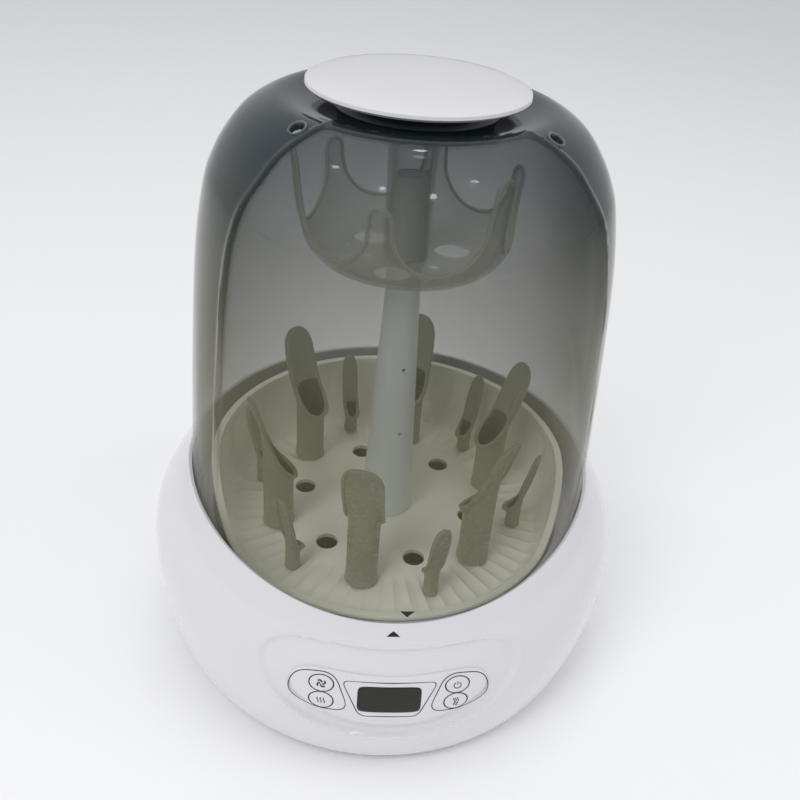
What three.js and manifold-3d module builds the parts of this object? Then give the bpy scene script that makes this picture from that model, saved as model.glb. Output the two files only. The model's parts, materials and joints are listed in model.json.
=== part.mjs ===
// Electric steam steriliser and dryer for baby bottles.
// Millimetres, +Z up, origin on the table under the middle of the base, control panel facing -Y.
// An azimuth is counted from the front (-Y) towards +X, seen from above it runs anticlockwise.
import * as THREE from "three";
import { mergeVertices } from "three/addons/utils/BufferGeometryUtils.js";
import Module from "manifold-3d";

const wasm = await Module();
wasm.setup();

// ---------------------------------------------------------------- driving dimensions
const gap = 0.3; // clearance between pieces that touch
const wall = 3; // wall of the base housing

// Outline of the base, bottom to rim: reach and height at the front, reach and height at the side.
const baseRows = [
  [133, 3, 133, 3],
  [140.5, 16, 143.5, 18],
  [146, 38, 150.8, 45],
  [147, 58, 154, 72],
  [144, 78, 154, 94],
  [139.5, 96, 149.5, 114],
  [134, 111, 140, 132],
  [129.8, 119.3, 130.4, 144.7],
];
const baseSides = 36; // facets round the base and the lid

const seatRadius = 127.6; // bore that the lid's foot drops into
const seatHeight = 108; // ledge that the lid stands on
const wellRadius = 116; // bore that the rack stands in
const wellFloor = 85; // top of the ledge round the heater plate
const dishRadius = 94; // hole in the well floor for the heater plate

const lidTurn = 3; // degrees, the lid as it was put down
const lidWall = 2.5;
const lidProfile = [
  [126.8, 108.3],
  [126.8, 150],
  [121.9, 230],
  [116.9, 290],
  [111, 325],
  [105.7, 340],
  [98.6, 352],
  [90.1, 362],
  [79.2, 369],
  [70, 371.2],
  [56, 368.6],
  [44, 368.2],
  [41, 374.6],
];
const capRadius = 58.4;
const capTop = 383.4;
const ventPlace = { radius: 79.5, azimuth: 50.7 };

const rackTurn = -13.3;
const rackFloor = 98.8;
const rackThickness = 2.8;
const rackRadius = 113.8;
const rackWallTop = 145.5;
const rackFloorEdge = 101.5; // the flat floor ends here and the turned-up wall begins
const drainRing = { radius: 57.3, holeRadius: 7 };
const tallPeg = { ring: 75, radius: 10, bore: 8, width: 22, low: 136, top: 196, thickness: 2.8 };
const smallPeg = { ring: 87.5, radius: 5, width: 11.5, low: 112, top: 158, thickness: 3.6 };

const mastFoot = 17; // mast radius on the rack floor
const mastWaist = 10.3; // mast radius under the upper tray
const mastTop = 332;
const trayShelf = 280; // flange that carries the upper tray

const trayTurn = -17;
const trayFloor = 284;
const hornPitch = 60;
const tallHorn = 347;
const shortHorn = 334;

const panelTilt = 18; // degrees that the control panel leans back
const panelPoint = [0, -144.5, 74];
const buttons = {
  button_fan: [-39.2, 8],
  button_steam: [-39.2, -4.2],
  button_power: [39.2, 8],
  button_cycle: [39.2, -4.2],
};
const boardDepth = 17; // front of the display board behind the panel point

const filterCentre = 56; // height of the rear filter cover
const coverInset = 0.888; // the cover lies this far below the housing's surface
const blower = { across: 27, reach: 10, floor: 18, top: 42, radius: 42 };

// ---------------------------------------------------------------- materials
const plastic = (colour, roughness = 0.35) =>
  new THREE.MeshStandardMaterial({ color: colour, roughness, metalness: 0 });
const metal = (colour, roughness = 0.3) =>
  new THREE.MeshStandardMaterial({ color: colour, roughness, metalness: 1 });
const clear = (colour, opacity) =>
  new THREE.MeshStandardMaterial({ color: colour, roughness: 0.08, transparent: true, opacity });

// ---------------------------------------------------------------- solids
const radians = THREE.MathUtils.degToRad;

function solid(geometry) {
  const bare = geometry.clone();
  bare.deleteAttribute("normal");
  bare.deleteAttribute("uv");
  const merged = mergeVertices(bare, 1e-4);
  const vertProperties = merged.attributes.position.array;
  const triVerts = new Uint32Array(merged.index.array);
  return new wasm.Manifold(new wasm.Mesh({ numProp: 3, vertProperties, triVerts }));
}

function surface(shape) {
  const mesh = shape.getMesh();
  const geometry = new THREE.BufferGeometry();
  geometry.setAttribute("position", new THREE.BufferAttribute(mesh.vertProperties, 3));
  geometry.setIndex(new THREE.BufferAttribute(mesh.triVerts, 1));
  geometry.computeVertexNormals();
  return geometry;
}

// A profile of [radius, height] pairs turned about +Z. It runs anticlockwise, outside going up.
function turned(profile, segments = 32) {
  const points = profile.map(([radius, height]) => new THREE.Vector2(radius, height));
  const geometry = new THREE.LatheGeometry(points, segments);
  return solid(geometry.rotateX(Math.PI / 2));
}

const disc = (radius, low, high, segments = 32) =>
  turned([[0, low], [radius, low], [radius, high], [0, high]], segments);

const ring = (inner, outer, low, high, segments = 36) =>
  turned([[inner, low], [outer, low], [outer, high], [inner, high], [inner, low]], segments);

function block(width, depth, low, high, x = 0, y = 0) {
  const geometry = new THREE.BoxGeometry(width, depth, high - low);
  return solid(geometry.translate(x, y, (low + high) / 2));
}

function place(shape, matrix) {
  return solid(surface(shape).applyMatrix4(matrix));
}

const shifted = (shape, x, y, z = 0) => place(shape, new THREE.Matrix4().makeTranslation(x, y, z));
const swung = (shape, azimuth) => place(shape, new THREE.Matrix4().makeRotationZ(radians(azimuth)));

// A cylinder lying along a radius of the object, from one reach to another.
function radialRod(radius, from, to, azimuth, height, segments = 16) {
  const lying = new THREE.Matrix4().makeRotationX(Math.PI / 2).setPosition(0, 0, height);
  return swung(place(disc(radius, from, to, segments), lying), azimuth);
}

// An outline in X and Z, extruded along -Y from one reach to another.
function facing(outline, from, to, curveSegments = 12) {
  const geometry = new THREE.ExtrudeGeometry(outline, {
    depth: to - from,
    bevelEnabled: false,
    curveSegments,
  });
  return solid(geometry.translate(0, 0, from).rotateX(Math.PI / 2));
}

// An outline in Y and Z, extruded along X about the middle plane.
function sideways(outline, width) {
  const geometry = new THREE.ExtrudeGeometry(outline, { depth: width, bevelEnabled: false });
  const upright = new THREE.Matrix4().set(0, 0, 1, -width / 2, 1, 0, 0, 0, 0, 1, 0, 0, 0, 0, 0, 1);
  return solid(geometry.applyMatrix4(upright));
}

function rectangle(width, height, x = 0, y = 0) {
  const corners = [[-1, -1], [1, -1], [1, 1], [-1, 1]];
  const points = corners.map(([a, b]) => new THREE.Vector2(x + (a * width) / 2, y + (b * height) / 2));
  return new THREE.Shape(points);
}

function stadium(width, low, high) {
  const radius = width / 2;
  const outline = new THREE.Shape();
  outline.absarc(0, low + radius, radius, Math.PI, 2 * Math.PI);
  outline.absarc(0, high - radius, radius, 0, Math.PI);
  return outline;
}

function roundedRectangle(width, height, radius, x = 0, y = 0) {
  const [a, b] = [width / 2 - radius, height / 2 - radius];
  const outline = new THREE.Shape();
  outline.absarc(x + a, y + b, radius, 0, Math.PI / 2);
  outline.absarc(x - a, y + b, radius, Math.PI / 2, Math.PI);
  outline.absarc(x - a, y - b, radius, Math.PI, 1.5 * Math.PI);
  outline.absarc(x + a, y - b, radius, 1.5 * Math.PI, 2 * Math.PI);
  return outline;
}

function oval(x, y, halfWidth, halfHeight) {
  return new THREE.Shape().absellipse(x, y, halfWidth, halfHeight, 0, 2 * Math.PI);
}

// A smooth closed outline through the points of its right half, mirrored to the left.
function mirroredOutline(half, grow = 0) {
  const left = half.slice(1, -1).reverse().map(([x, y]) => [-x, y]);
  const corners = [...half, ...left].map(([x, y]) => new THREE.Vector3(x, y, 0));
  const samples = new THREE.CatmullRomCurve3(corners, true).getPoints(34).slice(0, -1);
  const outline = samples.map((point, index) => {
    const before = samples.at(index - 1);
    const after = samples[(index + 1) % samples.length];
    const along = after.clone().sub(before).normalize();
    return new THREE.Vector2(point.x - along.y * grow, point.y + along.x * grow);
  });
  return new THREE.Shape(outline);
}

// ---------------------------------------------------------------- body surface
// The base's outer surface moved inwards by inset. Its rim dips at the front and is level behind.
function baseSkin(inset) {
  const positions = [];
  const faces = [];
  const rows = baseRows.length;
  for (const [frontReach, frontHeight, sideReach, sideHeight] of baseRows) {
    for (let side = 0; side < baseSides; side += 1) {
      const azimuth = (2 * Math.PI * side) / baseSides;
      const forward = Math.cos(azimuth);
      const reach = sideReach + (frontReach - sideReach) * forward ** 2 - inset;
      const dip = forward > 0 ? forward ** 2 : 0;
      const height = sideHeight + (frontHeight - sideHeight) * dip;
      positions.push(reach * Math.sin(azimuth), -reach * forward, height);
    }
  }
  const bottom = positions.length / 3;
  positions.push(0, 0, baseRows[0][1], 0, 0, baseRows[rows - 1][3]);
  for (let side = 0; side < baseSides; side += 1) {
    const next = (side + 1) % baseSides;
    for (let row = 0; row < rows - 1; row += 1) {
      const [low, high] = [row * baseSides, (row + 1) * baseSides];
      faces.push(low + side, low + next, high + next, low + side, high + next, high + side);
    }
    const top = (rows - 1) * baseSides;
    faces.push(bottom, next, side, bottom + 1, top + side, top + next);
  }
  const geometry = new THREE.BufferGeometry();
  geometry.setAttribute("position", new THREE.Float32BufferAttribute(positions, 3));
  geometry.setIndex(faces);
  return solid(geometry);
}

const layer = (outer, inner) => baseSkin(outer).subtract(baseSkin(inner));

// ---------------------------------------------------------------- control panel
const tilt = radians(panelTilt);
const panelFrame = new THREE.Matrix4()
  .makeBasis(
    new THREE.Vector3(1, 0, 0),
    new THREE.Vector3(0, Math.sin(tilt), Math.cos(tilt)),
    new THREE.Vector3(0, -Math.cos(tilt), Math.sin(tilt)),
  )
  .setPosition(...panelPoint);

// An outline drawn on the panel, extruded along the panel's normal between two depths.
function onPanel(outline, deep, shallow = 20) {
  const geometry = new THREE.ExtrudeGeometry(outline, {
    depth: shallow - deep,
    bevelEnabled: false,
    curveSegments: 5,
  });
  return solid(geometry.translate(0, 0, deep).applyMatrix4(panelFrame));
}

const recessHalf = [[0, 33], [24, 34.6], [46, 37], [62, 36.5], [73, 30], [77.6, 19], [73.5, 3.5],
  [63, -12], [46, -24.5], [24, -31], [0, -32.6]];
const overlayHalf = [[0, 15], [20, 16.4], [38, 18.4], [51, 18.4], [58.8, 10.6], [54.8, -2],
  [42, -12], [24, -16.4], [0, -17.6]];
const recessDepth = 1.2;
const windowOutline = (grow) => roundedRectangle(37 + 2 * grow, 18.6 + 2 * grow, 1.2 + grow, 0, -0.8);
const buttonOutline = ([x, y], grow) => oval(x, y, 6.7 + grow, 5.5 + grow);

function controlOverlay() {
  let plate = layer(recessDepth, 2.3).intersect(onPanel(mirroredOutline(overlayHalf), -30));
  plate = plate.subtract(onPanel(windowOutline(gap), -30));
  for (const centre of Object.values(buttons)) {
    plate = plate.subtract(onPanel(buttonOutline(centre, gap), -30));
  }
  return plate;
}

function displayWindow() {
  return layer(recessDepth, 2.3).intersect(onPanel(windowOutline(0), -30));
}

function panelButton(centre) {
  const cap = layer(0.75, 3.4).intersect(onPanel(buttonOutline(centre, 0), -30));
  return cap.add(onPanel(oval(...centre, 2, 2), -13.4, -6.7));
}

function displayBoard() {
  let board = onPanel(rectangle(108, 28, 0, 1), -boardDepth - 1.6, -boardDepth);
  for (const [x, y] of Object.values(buttons)) {
    board = board.add(onPanel(rectangle(6, 6, x, y), -boardDepth - 0.4, -14.5));
  }
  return board;
}

// ---------------------------------------------------------------- base
const postRing = { radius: 108, azimuths: [45, 135, 225, 315] };
const footRing = { radius: 104, azimuths: [0, 90, 180, 270] };
const gland = { azimuth: 180, height: 20, seat: 140.6 };
const duct = { azimuth: 107, ring: 108.5, width: 26, depth: 12, skin: 1.6 };

const onRing = ({ radius }, azimuth) => [
  radius * Math.sin(radians(azimuth)),
  -radius * Math.cos(radians(azimuth)),
];

function filterOpening(width, height, radius) {
  const centred = roundedRectangle(width, height, radius, 0, filterCentre);
  return swung(facing(centred, 120, 160, 3), 180);
}

function baseHousing() {
  const deck = seatHeight - wall;
  let hollow = baseSkin(wall).add(disc(130, 0, 5, baseSides));
  hollow = hollow.subtract(disc(seatRadius + wall, deck, 160, baseSides));
  hollow = hollow.subtract(disc(wellRadius + wall, wellFloor - wall, deck + 1, baseSides));
  let body = baseSkin(0).subtract(hollow);
  body = body.subtract(disc(seatRadius, seatHeight, 160, baseSides));
  body = body.subtract(disc(wellRadius, wellFloor, 160, baseSides));
  body = body.subtract(disc(dishRadius, 60, 100, baseSides));
  for (const azimuth of postRing.azimuths) {
    const [x, y] = onRing(postRing, azimuth);
    body = body.add(shifted(disc(5, 5.9, wellFloor - 1, 12), x, y));
    body = body.subtract(shifted(disc(1.8, 5, 20, 8), x, y));
  }
  // panel recess, pocket for the overlay, and ways through for the display and the button stems
  body = body.subtract(layer(-2, recessDepth).intersect(onPanel(mirroredOutline(recessHalf), -30)));
  const pocket = onPanel(mirroredOutline(overlayHalf, gap), -30);
  body = body.subtract(layer(-2, 2.6).intersect(pocket));
  body = body.subtract(onPanel(rectangle(40, 22, 0, -0.8), -12));
  for (const centre of Object.values(buttons)) {
    body = body.subtract(onPanel(buttonOutline(centre, gap), -30));
  }
  // rear opening for the filter, hole and flat seat for the cord gland, hole for the hot air
  body = body.subtract(layer(-2, 3.5).intersect(filterOpening(76.7, 44.7, 6.3)));
  body = body.subtract(filterOpening(66, 34, 4));
  body = body.subtract(radialRod(6.3, 120, 160, gland.azimuth, gland.height));
  body = body.subtract(radialRod(9.2, gland.seat, 160, gland.azimuth, gland.height, 20));
  const airHole = block(duct.width + 0.8, duct.depth + 0.8, 70, 90, 0, -duct.ring);
  return body.subtract(swung(airHole, duct.azimuth));
}

function bottomCover() {
  let cover = disc(129.4, 3, 5.5, baseSides);
  for (const azimuth of footRing.azimuths) {
    cover = cover.subtract(shifted(disc(3.9, 0, 10, 12), ...onRing(footRing, azimuth)));
  }
  for (const azimuth of postRing.azimuths) {
    cover = cover.subtract(shifted(disc(2.2, 0, 10, 12), ...onRing(postRing, azimuth)));
  }
  return cover;
}

const rubberFoot = () =>
  turned([[0, 0], [8, 0], [9.5, 1.2], [9.5, 2.7], [3.5, 2.7], [3.5, 5.8], [4.8, 5.8], [4.2, 7.6],
    [0, 7.6]], 12);

const baseScrew = () => turned([[0, 0.9], [3.2, 0.9], [3.5, 2.7], [1.5, 2.7], [1.5, 17], [0, 18]], 8);

function heaterPlate() {
  return turned([[0, 76], [82, 76], [89, 79.5], [91, 87.3], [100, 87.3], [100, 88.3], [90.1, 88.3],
    [88.2, 80.3], [81.6, 77], [0, 77]], 36);
}

// Tubular element: an open loop of tube pressed under the plate, with its two ends turned down.
function heatingElement() {
  const points = [];
  const [radius, height] = [52, 70.9];
  for (let degree = 20; degree <= 340; degree += 20) {
    const angle = radians(degree);
    points.push(new THREE.Vector3(radius * Math.sin(angle), -radius * Math.cos(angle), height));
  }
  const [first, last] = [points[0], points.at(-1)];
  points.unshift(new THREE.Vector3(first.x - 8, first.y - 1, height - 14));
  points.push(new THREE.Vector3(last.x + 8, last.y - 1, height - 14));
  const section = new THREE.Shape().absarc(0, 0, 4, 0, 2 * Math.PI);
  const path = new THREE.CatmullRomCurve3(points);
  const tube = new THREE.ExtrudeGeometry(section, { steps: 34, extrudePath: path, curveSegments: 4 });
  return solid(tube);
}

function elementClamp() {
  return block(124, 28, 64.3, 66.3).subtract(disc(10.3, 60, 70, 16));
}

const thermostat = () => disc(13, 70, 75.7, 16).add(disc(9.8, 62, 70.5, 16));

function thermalFuse() {
  const lying = new THREE.Matrix4().makeRotationY(Math.PI / 2).setPosition(-14, 30, 73);
  return place(disc(2.4, 0, 28, 10), lying);
}

// The blower lies beside the line from the middle to the duct, its outlet pointing along that line.
const atBlower = (shape) => swung(shifted(shape, blower.across, -blower.reach), duct.azimuth);

function blowerHousing() {
  const { across, floor, top, radius } = blower;
  const side = -across;
  let casing = disc(radius, floor, top, 28).add(block(28, radius, floor, top, side, -radius / 2));
  casing = casing.subtract(disc(radius - 2, floor + 2, top - 2, 28));
  casing = casing.subtract(block(24, radius + 1, floor + 2, top - 2, side, -radius / 2 - 0.5));
  return atBlower(casing.subtract(disc(24, top - 3, top + 1, 24)));
}

function blowerMotor() {
  const low = blower.floor + 2.3;
  return atBlower(disc(15.5, low, 34, 20).add(disc(1.5, 33, 37.5, 8)));
}

function fanImpeller() {
  let fan = turned([[1.9, 35.4], [16.2, 35.4], [16.2, 22], [36, 22], [36, 23.4], [18, 23.4], [18, 37.2],
    [1.9, 37.2], [1.9, 35.4]], 20);
  const blades = 9;
  for (let blade = 0; blade < blades; blade += 1) {
    fan = fan.add(swung(block(1.2, 12, 23, 38, 0, 29.8), (360 / blades) * blade));
  }
  return atBlower(fan);
}

// The duct runs flat from the blower, then turns up to the hole in the well floor.
function airDuct() {
  const { ring: reach, width, depth, skin } = duct;
  const start = blower.reach + blower.radius + gap;
  const end = reach + depth / 2;
  const tube = (inset, low, top) => {
    const middle = (start + end - inset) / 2;
    const flat = block(width - 2 * inset, end - inset - start, low, blower.top - inset, 0, -middle);
    return flat.add(block(width - 2 * inset, depth - 2 * inset, low, top, 0, -reach));
  };
  const inside = tube(skin, blower.floor + skin, 100).add(
    block(width - 2 * skin, 4, blower.floor + skin, blower.top - skin, 0, -start));
  return swung(tube(0, blower.floor, wellFloor - gap).subtract(inside), duct.azimuth);
}

// Self-limiting air heater: a finned block that fills the duct, with slots for the air.
function airHeater() {
  let heater = block(21.5, 7.6, 66, 80, 0, -duct.ring);
  for (let slot = -2; slot <= 2; slot += 1) {
    heater = heater.subtract(block(2.2, 5.4, 60, 90, slot * 4, -duct.ring));
  }
  return swung(heater, duct.azimuth);
}

function controlBoard() {
  const board = block(64, 52, 12, 13.6, -62, -42);
  const transformer = block(24, 20, 13, 34, -72, -50);
  const relay = block(19, 15, 13, 29, -46, -56);
  const heatSink = block(12, 20, 13, 25, -44, -28);
  const capacitor = shifted(disc(6, 13, 33, 12), -80, -27);
  return board.add(transformer).add(relay).add(heatSink).add(capacitor);
}

function cordGland() {
  const [bore, seat] = [3.6, gland.seat + gap];
  const [stem, flange, inner, outer] = [6, 8.7, 133, 144];
  const gripped = turned([[bore, inner], [stem, inner], [stem, seat], [flange, seat], [flange, outer],
    [bore, outer], [bore, inner]], 20);
  const lying = new THREE.Matrix4().makeRotationX(Math.PI / 2).setPosition(0, 0, gland.height);
  return swung(place(gripped, lying), gland.azimuth);
}

function filterCover() {
  let cover = layer(coverInset, 3.2).intersect(filterOpening(76, 44, 6));
  for (let row = -2; row <= 2; row += 1) {
    const slot = rectangle(54, 3.2, 0, filterCentre + row * 6.4);
    cover = cover.subtract(swung(facing(slot, 120, 160, 3), 180));
  }
  return cover;
}

const airFilter = () => block(62, 8, filterCentre - 15, filterCentre + 15, 0, 133.8);

// ---------------------------------------------------------------- lid
// The inner profile of a shell: the outer one moved inwards along its own normals.
function insetProfile(profile, thickness) {
  return profile.map(([radius, height], index) => {
    const [beforeRadius, beforeHeight] = profile[Math.max(index - 1, 0)];
    const [afterRadius, afterHeight] = profile[Math.min(index + 1, profile.length - 1)];
    const along = new THREE.Vector2(afterRadius - beforeRadius, afterHeight - beforeHeight);
    along.normalize().multiplyScalar(thickness);
    return [radius - along.y, height + along.x];
  });
}

function lidDome() {
  const inner = insetProfile(lidProfile, lidWall).slice(1, -1).reverse();
  const top = lidProfile.at(-1)[1];
  const crown = [[0, top], [0, top - lidWall], [38.6, top - lidWall]];
  const foot = lidProfile[0];
  const rest = [foot[0] - lidWall, foot[1]];
  let dome = turned([...lidProfile, ...crown, ...inner, rest, foot], baseSides);
  for (const azimuth of [-ventPlace.azimuth, ventPlace.azimuth]) {
    const [x, y] = onRing(ventPlace, azimuth);
    dome = dome.subtract(shifted(disc(3.2, 355, 380, 12), x, y));
  }
  return dome;
}

function lidCap() {
  const low = 374.9;
  return turned([[0, low], [50, low], [capRadius, 377], [capRadius - 0.4, 379.6], [50, 381.2], [30, 382.8],
    [0, capTop]], baseSides);
}

const lidBoss = () =>
  turned([[0, 350.5], [8, 350.5], [9.2, 352], [9.2, 367], [19, 369.4], [19, 371.8], [0, 371.8]], 20);

// ---------------------------------------------------------------- rack
function rackTray() {
  const under = rackFloor - rackThickness;
  let tray = turned([[0, under], [103, under], [111, 99.6], [rackRadius, 108],
    [rackRadius, rackWallTop], [110.8, rackWallTop], [110.8, 108.6], [108.6, 102.4],
    [102, rackFloor], [0, rackFloor]], baseSides);
  // the wall is high behind and at the sides, and falls away at the front
  const above = new THREE.Shape();
  above.moveTo(-130, 104);
  above.lineTo(-84, 104);
  const fall = [[-70, 106], [-56, 113], [-36, 127], [-14, 141], [4, rackWallTop + 0.5]];
  above.splineThru(fall.map(([y, z]) => new THREE.Vector2(y, z)));
  above.lineTo(4, 170);
  above.lineTo(-130, 170);
  tray = tray.subtract(swung(sideways(above, 260), -rackTurn));
  for (let count = 0; count < 6; count += 1) {
    const azimuth = 30 + 60 * count;
    const drain = shifted(disc(drainRing.holeRadius, 90, 110, 12), ...onRing(drainRing, azimuth));
    const leg = swung(block(12, 5, wellFloor + gap, 97, 0, -107), azimuth);
    tray = tray.subtract(drain).add(leg);
  }
  return tray.subtract(disc(8.4, 90, 110, 20));
}

// One moulding, held as two bodies so that each one is a simple shape.
const rackFloorPlate = () => rackTray().intersect(disc(rackFloorEdge, 60, 200, baseSides));
const rackWall = () => rackTray().subtract(disc(rackFloorEdge + gap, 60, 200, baseSides));

// A peg is a stem whose top is cut by a rising curve, with a tongue that follows the curve outwards.
function peg({ ring: reach, radius, width, low, top, thickness }, curve) {
  const line = new THREE.SplineCurve(curve.map(([y, z]) => new THREE.Vector2(y, z)));
  const upper = line.getPoints(6);
  const under = upper.map((point, index) => {
    const tangent = line.getTangent(index / 6);
    return new THREE.Vector2(point.x - tangent.y * thickness, point.y + tangent.x * thickness);
  });
  const band = sideways(new THREE.Shape([...upper, ...under.reverse()]), width + 4);
  const over = new THREE.Shape([...upper, new THREE.Vector2(-130, top), new THREE.Vector2(-130, 230),
    new THREE.Vector2(-40, 230), new THREE.Vector2(-40, low)]);
  const stem = shifted(disc(radius, rackFloor + gap, top - 20, 16), 0, -reach);
  const tongue = band.intersect(facing(stadium(width, low, top), 40, 120, 5));
  return stem.subtract(sideways(over, 60)).add(tongue);
}

function tallPegSolid() {
  const curve = [[-63, 136], [-74, 146], [-83, 158], [-88, 174], [-92, 200]];
  const bore = shifted(disc(tallPeg.bore, rackFloor + 4, 190, 16), 0, -tallPeg.ring);
  return peg(tallPeg, curve).subtract(bore);
}

function smallPegSolid() {
  const curve = [[-81, 111], [-87, 118], [-92, 129], [-95.5, 143], [-97.5, 162]];
  return peg(smallPeg, curve);
}

function mast() {
  const foot = rackFloor + gap;
  const skin = 2.2;
  let shaft = turned([[6, 91], [8, 91], [8, foot], [mastFoot, foot], [mastFoot - 0.2, foot + 4], [12.6, 206],
    [mastWaist, 262], [mastWaist, trayShelf - 2], [12.4, trayShelf], [12.4, trayShelf + 3.4],
    [mastWaist, trayShelf + 3.4], [10, mastTop - 3], [8.6, mastTop], [0, mastTop], [0, mastTop - skin],
    [7.8, mastTop - skin - 1], [mastWaist - skin, 262], [12.6 - skin, 206], [mastFoot - skin, foot + 6],
    [6, foot + 4], [6, 91]], 20);
  for (const height of [166, 213, 270]) {
    shaft = shaft.subtract(radialRod(1.5, 4, 30, 18 - rackTurn, height, 6));
  }
  return shaft;
}

const mastNut = () => {
  const nut = disc(14, 91, rackFloor - rackThickness - gap, 6);
  return nut.subtract(disc(8.3, 80, 110, 20));
};

// ---------------------------------------------------------------- upper tray
// One petal of the tray seen from the mast: a horn between two halves of round valleys.
function petal(top) {
  const [half, valley, hornHalf, bend] = [31.5, 25.3, 6.2, 323];
  const outline = new THREE.Shape();
  outline.moveTo(-half, 275);
  outline.lineTo(half, 275);
  outline.absarc(half, bend, valley, 1.5 * Math.PI, Math.PI, true);
  outline.absarc(0, top - hornHalf, hornHalf, 0, Math.PI);
  outline.absarc(-half, bend, valley, 0, -0.5 * Math.PI, true);
  return facing(outline, 18, 80, 5);
}

function upperTray() {
  const [inner, outer] = [10.9, 12.9];
  const bowl = turned([[outer, trayFloor], [40, trayFloor], [51, 288], [58, 297], [62, 316], [65.4, 350],
    [63.2, 350], [59.8, 316.4], [56, 298], [49.8, 290], [39.6, trayFloor + 2.2], [outer, trayFloor + 2.2],
    [outer, trayFloor]], 30);
  let petals = disc(46, 280, 298, 32);
  for (let count = 0; count < 6; count += 1) {
    petals = petals.add(swung(petal(count % 2 ? tallHorn : shortHorn), hornPitch * count));
  }
  let tray = bowl.intersect(petals);
  tray = tray.add(ring(inner, outer + 0.4, trayFloor, 335, 20));
  // fingers round the top of the collar, open at the front
  let crown = ring(inner, 13.6, 333, 350, 20);
  for (const azimuth of [-trayTurn, 125 - trayTurn, -125 - trayTurn]) {
    crown = crown.subtract(swung(block(azimuth === -trayTurn ? 17 : 4, 20, 335, 360, 0, -12), azimuth));
  }
  tray = tray.add(crown);
  for (let count = 0; count < 3; count += 1) {
    const drain = shifted(disc(10.5, 270, 300, 14), 0, -28);
    tray = tray.subtract(swung(drain, 120 * count));
  }
  return tray;
}

// ---------------------------------------------------------------- assembly
const steriliser = new THREE.Group();
const lid = new THREE.Group();
const rack = new THREE.Group();
const tray = new THREE.Group();
lid.rotation.z = radians(lidTurn);
rack.rotation.z = radians(rackTurn);
tray.rotation.z = radians(trayTurn);
steriliser.add(lid, rack, tray);

function add(group, name, shape, material) {
  const mesh = new THREE.Mesh(surface(shape), material);
  mesh.name = name;
  group.add(mesh);
  return mesh;
}

add(steriliser, "base_housing", baseHousing(), plastic(0xe9e7ea, 0.18));
add(steriliser, "bottom_cover", bottomCover(), plastic(0xd4d3d6, 0.5));
footRing.azimuths.forEach((azimuth, index) => {
  const [x, y] = onRing(footRing, azimuth);
  add(steriliser, `rubber_foot_${index + 1}`, rubberFoot(), plastic(0x3a3a3c, 0.85)).position.set(x, y, 0);
});
postRing.azimuths.forEach((azimuth, index) => {
  const [x, y] = onRing(postRing, azimuth);
  add(steriliser, `base_screw_${index + 1}`, baseScrew(), metal(0xb8b8bc)).position.set(x, y, 0);
});
add(steriliser, "heater_plate", heaterPlate(), metal(0xc9cacc, 0.22));
add(steriliser, "basin_seal", ring(94.4, 100, wellFloor + gap, 87), plastic(0xd8d8d4, 0.8));
add(steriliser, "heating_element", heatingElement(), metal(0x77706a, 0.45));
add(steriliser, "element_clamp", elementClamp(), metal(0xb0b2b5, 0.4));
add(steriliser, "thermostat", thermostat(), plastic(0x2c2b2a, 0.5));
add(steriliser, "thermal_fuse", thermalFuse(), plastic(0xd9d2c0, 0.6));
add(steriliser, "blower_housing", blowerHousing(), plastic(0x28292b, 0.5));
add(steriliser, "blower_motor", blowerMotor(), metal(0x9b9da0, 0.35));
add(steriliser, "fan_impeller", fanImpeller(), plastic(0x35373a, 0.5));
add(steriliser, "air_duct", airDuct(), plastic(0x8f9194, 0.55));
add(steriliser, "air_heater", airHeater(), metal(0xa7a29a, 0.5));
add(steriliser, "control_board", controlBoard(), plastic(0x2f6b45, 0.5));
add(steriliser, "display_board", displayBoard(), plastic(0x2f6b45, 0.5));
const displayModule = onPanel(rectangle(38.6, 20.4, 0, -0.8), -10, -5.8);
add(steriliser, "display_module", displayModule, plastic(0x3c4034, 0.3));
add(steriliser, "display_window", displayWindow(), clear(0x4c5044, 0.6));
add(steriliser, "control_overlay", controlOverlay(), plastic(0xeeecef, 0.15));
for (const [name, centre] of Object.entries(buttons)) {
  add(steriliser, name, panelButton(centre), plastic(0xeeecef, 0.2));
}
add(steriliser, "cord_gland", cordGland(), plastic(0x9a9a9c, 0.6));
add(steriliser, "filter_cover", filterCover(), plastic(0xe6e4e7, 0.3));
add(steriliser, "air_filter", airFilter(), plastic(0xf2f1ea, 0.95));

add(lid, "lid_dome", lidDome(), clear(0x7d8378, 0.45));
add(lid, "lid_cap", lidCap(), plastic(0xeceaed, 0.15));
add(lid, "lid_boss", lidBoss(), plastic(0x39433f, 0.3));

add(rack, "rack_floor", rackFloorPlate(), plastic(0xd3d6cd, 0.3));
add(rack, "rack_wall", rackWall(), plastic(0xd3d6cd, 0.3));
for (let count = 0; count < 6; count += 1) {
  const tall = add(rack, `tall_peg_${count + 1}`, tallPegSolid(), plastic(0x97998b, 0.3));
  tall.rotation.z = radians(60 * count);
  const small = add(rack, `small_peg_${count + 1}`, smallPegSolid(), plastic(0x97998b, 0.3));
  small.rotation.z = radians(30 + 60 * count);
}
add(rack, "mast", mast(), plastic(0xc3ccd0, 0.3));
add(rack, "mast_nut", mastNut(), plastic(0xc3ccd0, 0.4));
add(tray, "upper_tray", upperTray(), clear(0xb9b9a4, 0.75));

export default steriliser;
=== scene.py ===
import json
import math

import bpy
from mathutils import Matrix, Vector


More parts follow.
